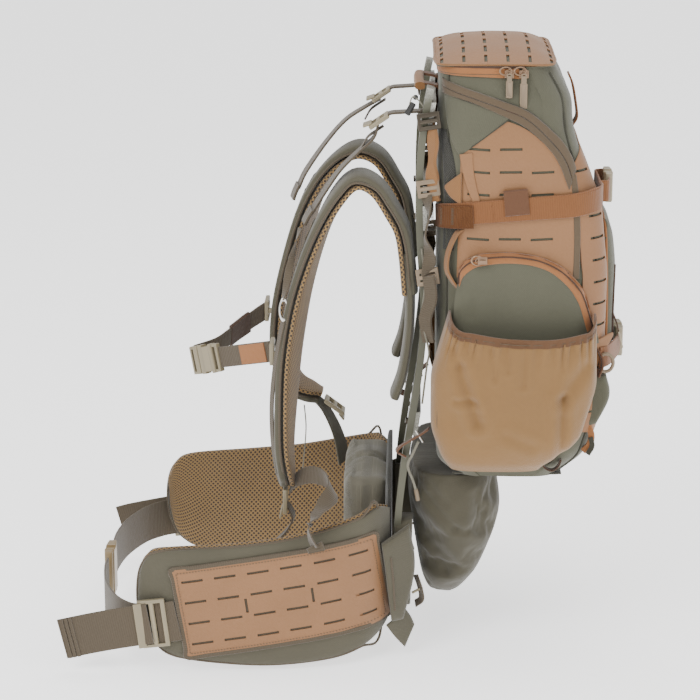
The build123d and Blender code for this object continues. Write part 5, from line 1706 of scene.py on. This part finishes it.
# %% Load sack
SACK_FRONT = [(-116, 112), (-104, 102), (-88, 95), (-40, 87), (20, 78), (58, 78)]
SACK_REAR = [(-116, 128), (-104, 134), (-68, 158), (-25, 174), (8, 182), (40, 181), (58, 176)]
SACK_HALF = [(-116, 40), (-100, 66), (-70, 94), (0, 118), (58, 114)]
rows = []
for j in range(41):
    z = -114 + 170 * j / 40
    front, rear, half = lean(SACK_FRONT, z), lean(SACK_REAR, z), lean(SACK_HALF, z)
    ring = []
    for i in range(65):
        turn = math.tau * i / 64
        c, s = math.cos(turn), math.sin(turn)
        ring.append(Vector(((front + rear) / 2 + (rear - front) / 2 * math.copysign(abs(c) ** 0.6, c) * 0.97,
                            half * math.copysign(abs(s) ** 0.5, s) * 0.97, z)))
    rows.append(ring)
sack = grid("load_sack_cloth", rows)
close_up(sack)
blown(sack, 5, 3.0, 6, pinned=lambda p: p.z > 50)
SACK_FOLDS = [((86, 40), (130, -9), 4.0, 5), ((130, -9), (143, -13), 3.0, 5), ((94, 48), (118, 22), 3.0, 5),
              ((150, 30), (168, -8), 3.0, 7),
              ((112, -40), (140, -66), 3.0, 6), ((96, -30), (120, -70), 2.6, 6), ((160, 44), (178, 20), 2.0,
                      6)]
for vertex in sack.data.vertices:
    x, y, z = vertex.co / MM
    if abs(y) > 30:
        push = sum(-deep * math.exp(-(off_line(x, z, a, b) / wide) ** 2) for a, b, deep, wide in SACK_FOLDS)
        push += 2.6 * noise.noise(Vector((x * 0.04, z * 0.04, y * 0.01)))
        vertex.co.y += math.copysign(1, y) * push * MM
done(sack, sack_cloth, ("load_sack",), smooth=60, fill=0.3)

# %% Lumbar pad
pad = block("lumbar_pad_cloth", (3, -77, -57), (47, 77, 43), bevel=9, segments=4)
blown(pad, 5, 4.0, 6, pinned=None)
for vertex in pad.data.vertices:
    x, y, z = vertex.co / MM
    groove = sum(math.exp(-((abs(y) - at) / 2.6) ** 2)
                 for at in (26, 54)) + math.exp(-((z - 14) / 2.6) ** 2) * (abs(y) < 77)
    crest = 4.5 * math.exp(-((z - 44) / 9) ** 2)
    if x < 30:
        vertex.co.x += (2.6 * groove) * MM
    vertex.co.z += crest * MM * (1 if x > 8 else 0.4) * math.cos(y * 0.05)
done(pad, pad_cloth, ("lumbar_pad",), slot="grey_fabric", smooth=60, fill=0.7)
print("soft pads:", len(sack.data.vertices), len(pad.data.vertices))

# %% [markdown]
# ## Waist closure
# At the front of each wing a ladder lock carries the waist webbing. Its free end points forward with a
# triple-stitched hem, and the two halves of a large buckle meet in the middle.

# %% Waist locks, webbing and buckle
for hand, side in SIDES:
    short = 0 if hand == LEFT else 22
    lock = settle(ladder_lock(f"waist_lock_{side}", 50, 32, 6, lip=5), (-218, hand * 195, -99),
                  (-1, 0, -0.12), (0, hand, 0))
    crisp(lock, plastic, ("waist_locks",))
    tail = [(-222, hand * 199.5, -98), (-250, hand * 198.5, -103), (-285, hand * 197.5, -110),
            (-324 + short, hand * 197, -119 + short * 0.2)]
    piece = strap(f"waist_tail_{side}", tail, 49, 2.2, (0.2, 0, 1), 50)
    crisp(piece, belt_web, ("waist_webbing",))
    end = Vector(tail[-1])
    for k in range(3):
        mid = end + Vector((4.5 + 5.0 * k, hand * 1.7, 1.0 + k))
        bar = strap(f"waist_hem_{side}_{k + 1}", [mid + Vector((-1.8, 0, -0.4)), mid,
                                                  mid + Vector((1.8, 0, 0.4))], 48.5, 1.4, (0.2, 0, 1), 6)
        crisp(bar, belt_web)
    stub = [(-214, hand * 193.5, -99), (-200, hand * 195, -97), (-190, hand * 196, -95)]
    crisp(strap(f"waist_stub_{side}", stub, 49, 2.4, (0.1, 0, 1), 16), belt_web)
    route = [(-228, hand * 193, -101), (-246, hand * 184, -102), (-266, hand * 158, -102),
             (-283, hand * 110, -102), (-290, hand * 62, -102), (-290, hand * 34, -102)]
    if hand == RIGHT:
        route[-1] = (-290, 18, -102)
    piece = strap(f"waist_webbing_{side}", route, 49, 2.2, (0, 0, 1), 80)
    body = "root" if hand == LEFT else "waist_plug"
    crisp(piece, belt_web, body=body)
    if hand == RIGHT:
        piece.parent = None
        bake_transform(piece)
buckle("waist_buckle", (-290, 2, -102), (0, 1, 0), (-1, 0, 0), 60, 12, "root", "waist_plug",
       "waist_buckle_socket", "waist_buckle_plug", plastic_gloss)

# %% [markdown]
# ## Studio
# A pale floor and backdrop, one broad soft light from the front and above, and weaker ones to lift the
# shadows. The camera looks a little down on the wearer's left side.

# %% Floor, lights and camera
put_down()
bpy.ops.mesh.primitive_plane_add(size=14, location=(0, 0, cad_box[0].z - 0.004))
floor = bpy.context.object
floor.name = "studio_floor"
floor_paint, _, floor_shader, _ = base_material("studio_white", 0.9)
floor_shader.inputs["Base Color"].default_value = (0.95, 0.95, 0.95, 1)
floor_shader.inputs["Emission Color"].default_value = (1.0, 1.0, 1.0, 1)
floor_shader.inputs["Emission Strength"].default_value = 1.1
floor.data.materials.append(floor_paint)

world = bpy.data.worlds.new("studio_air")
bpy.context.scene.world = world
world.use_nodes = True
world.node_tree.nodes["Background"].inputs["Color"].default_value = (1.0, 1.0, 1.0, 1)
world.node_tree.nodes["Background"].inputs["Strength"].default_value = 1.0


def area_light(name, place, target, size, power):
    put_down()
    bpy.ops.object.light_add(type="AREA", location=place)
    lamp = bpy.context.object
    lamp.name = name
    lamp.data.size = size
    lamp.data.energy = power
    lamp.rotation_euler = (Vector(target) - Vector(place)).to_track_quat("-Z", "Y").to_euler()


area_light("key_light", (-1.3, -2.0, 2.2), (0.05, 0, 0.2), 1.6, 52)
area_light("fill_light", (1.9, -1.8, 1.0), (0.05, 0, 0.2), 1.8, 18)
area_light("top_light", (0.3, 0.4, 2.6), (0.05, 0, 0.3), 1.8, 26)

CAMERA_FROM = Vector((0.0769, -2.8002, 0.9272))
CAMERA_AT = Vector((0.0036, 0.0, 0.1766))
put_down()
bpy.ops.object.camera_add(location=CAMERA_FROM)
camera = bpy.context.object
camera.name = "studio_camera"
camera.rotation_euler = (CAMERA_AT - CAMERA_FROM).to_track_quat("-Z", "Y").to_euler()
camera.data.lens = 124.3
bpy.context.scene.camera = camera

# %% [markdown]
# ## Piece count
# The number of pieces made and their faces are printed.

# %% Count of pieces and faces
print("pieces:", len(made), "faces:", sum(made.values()))
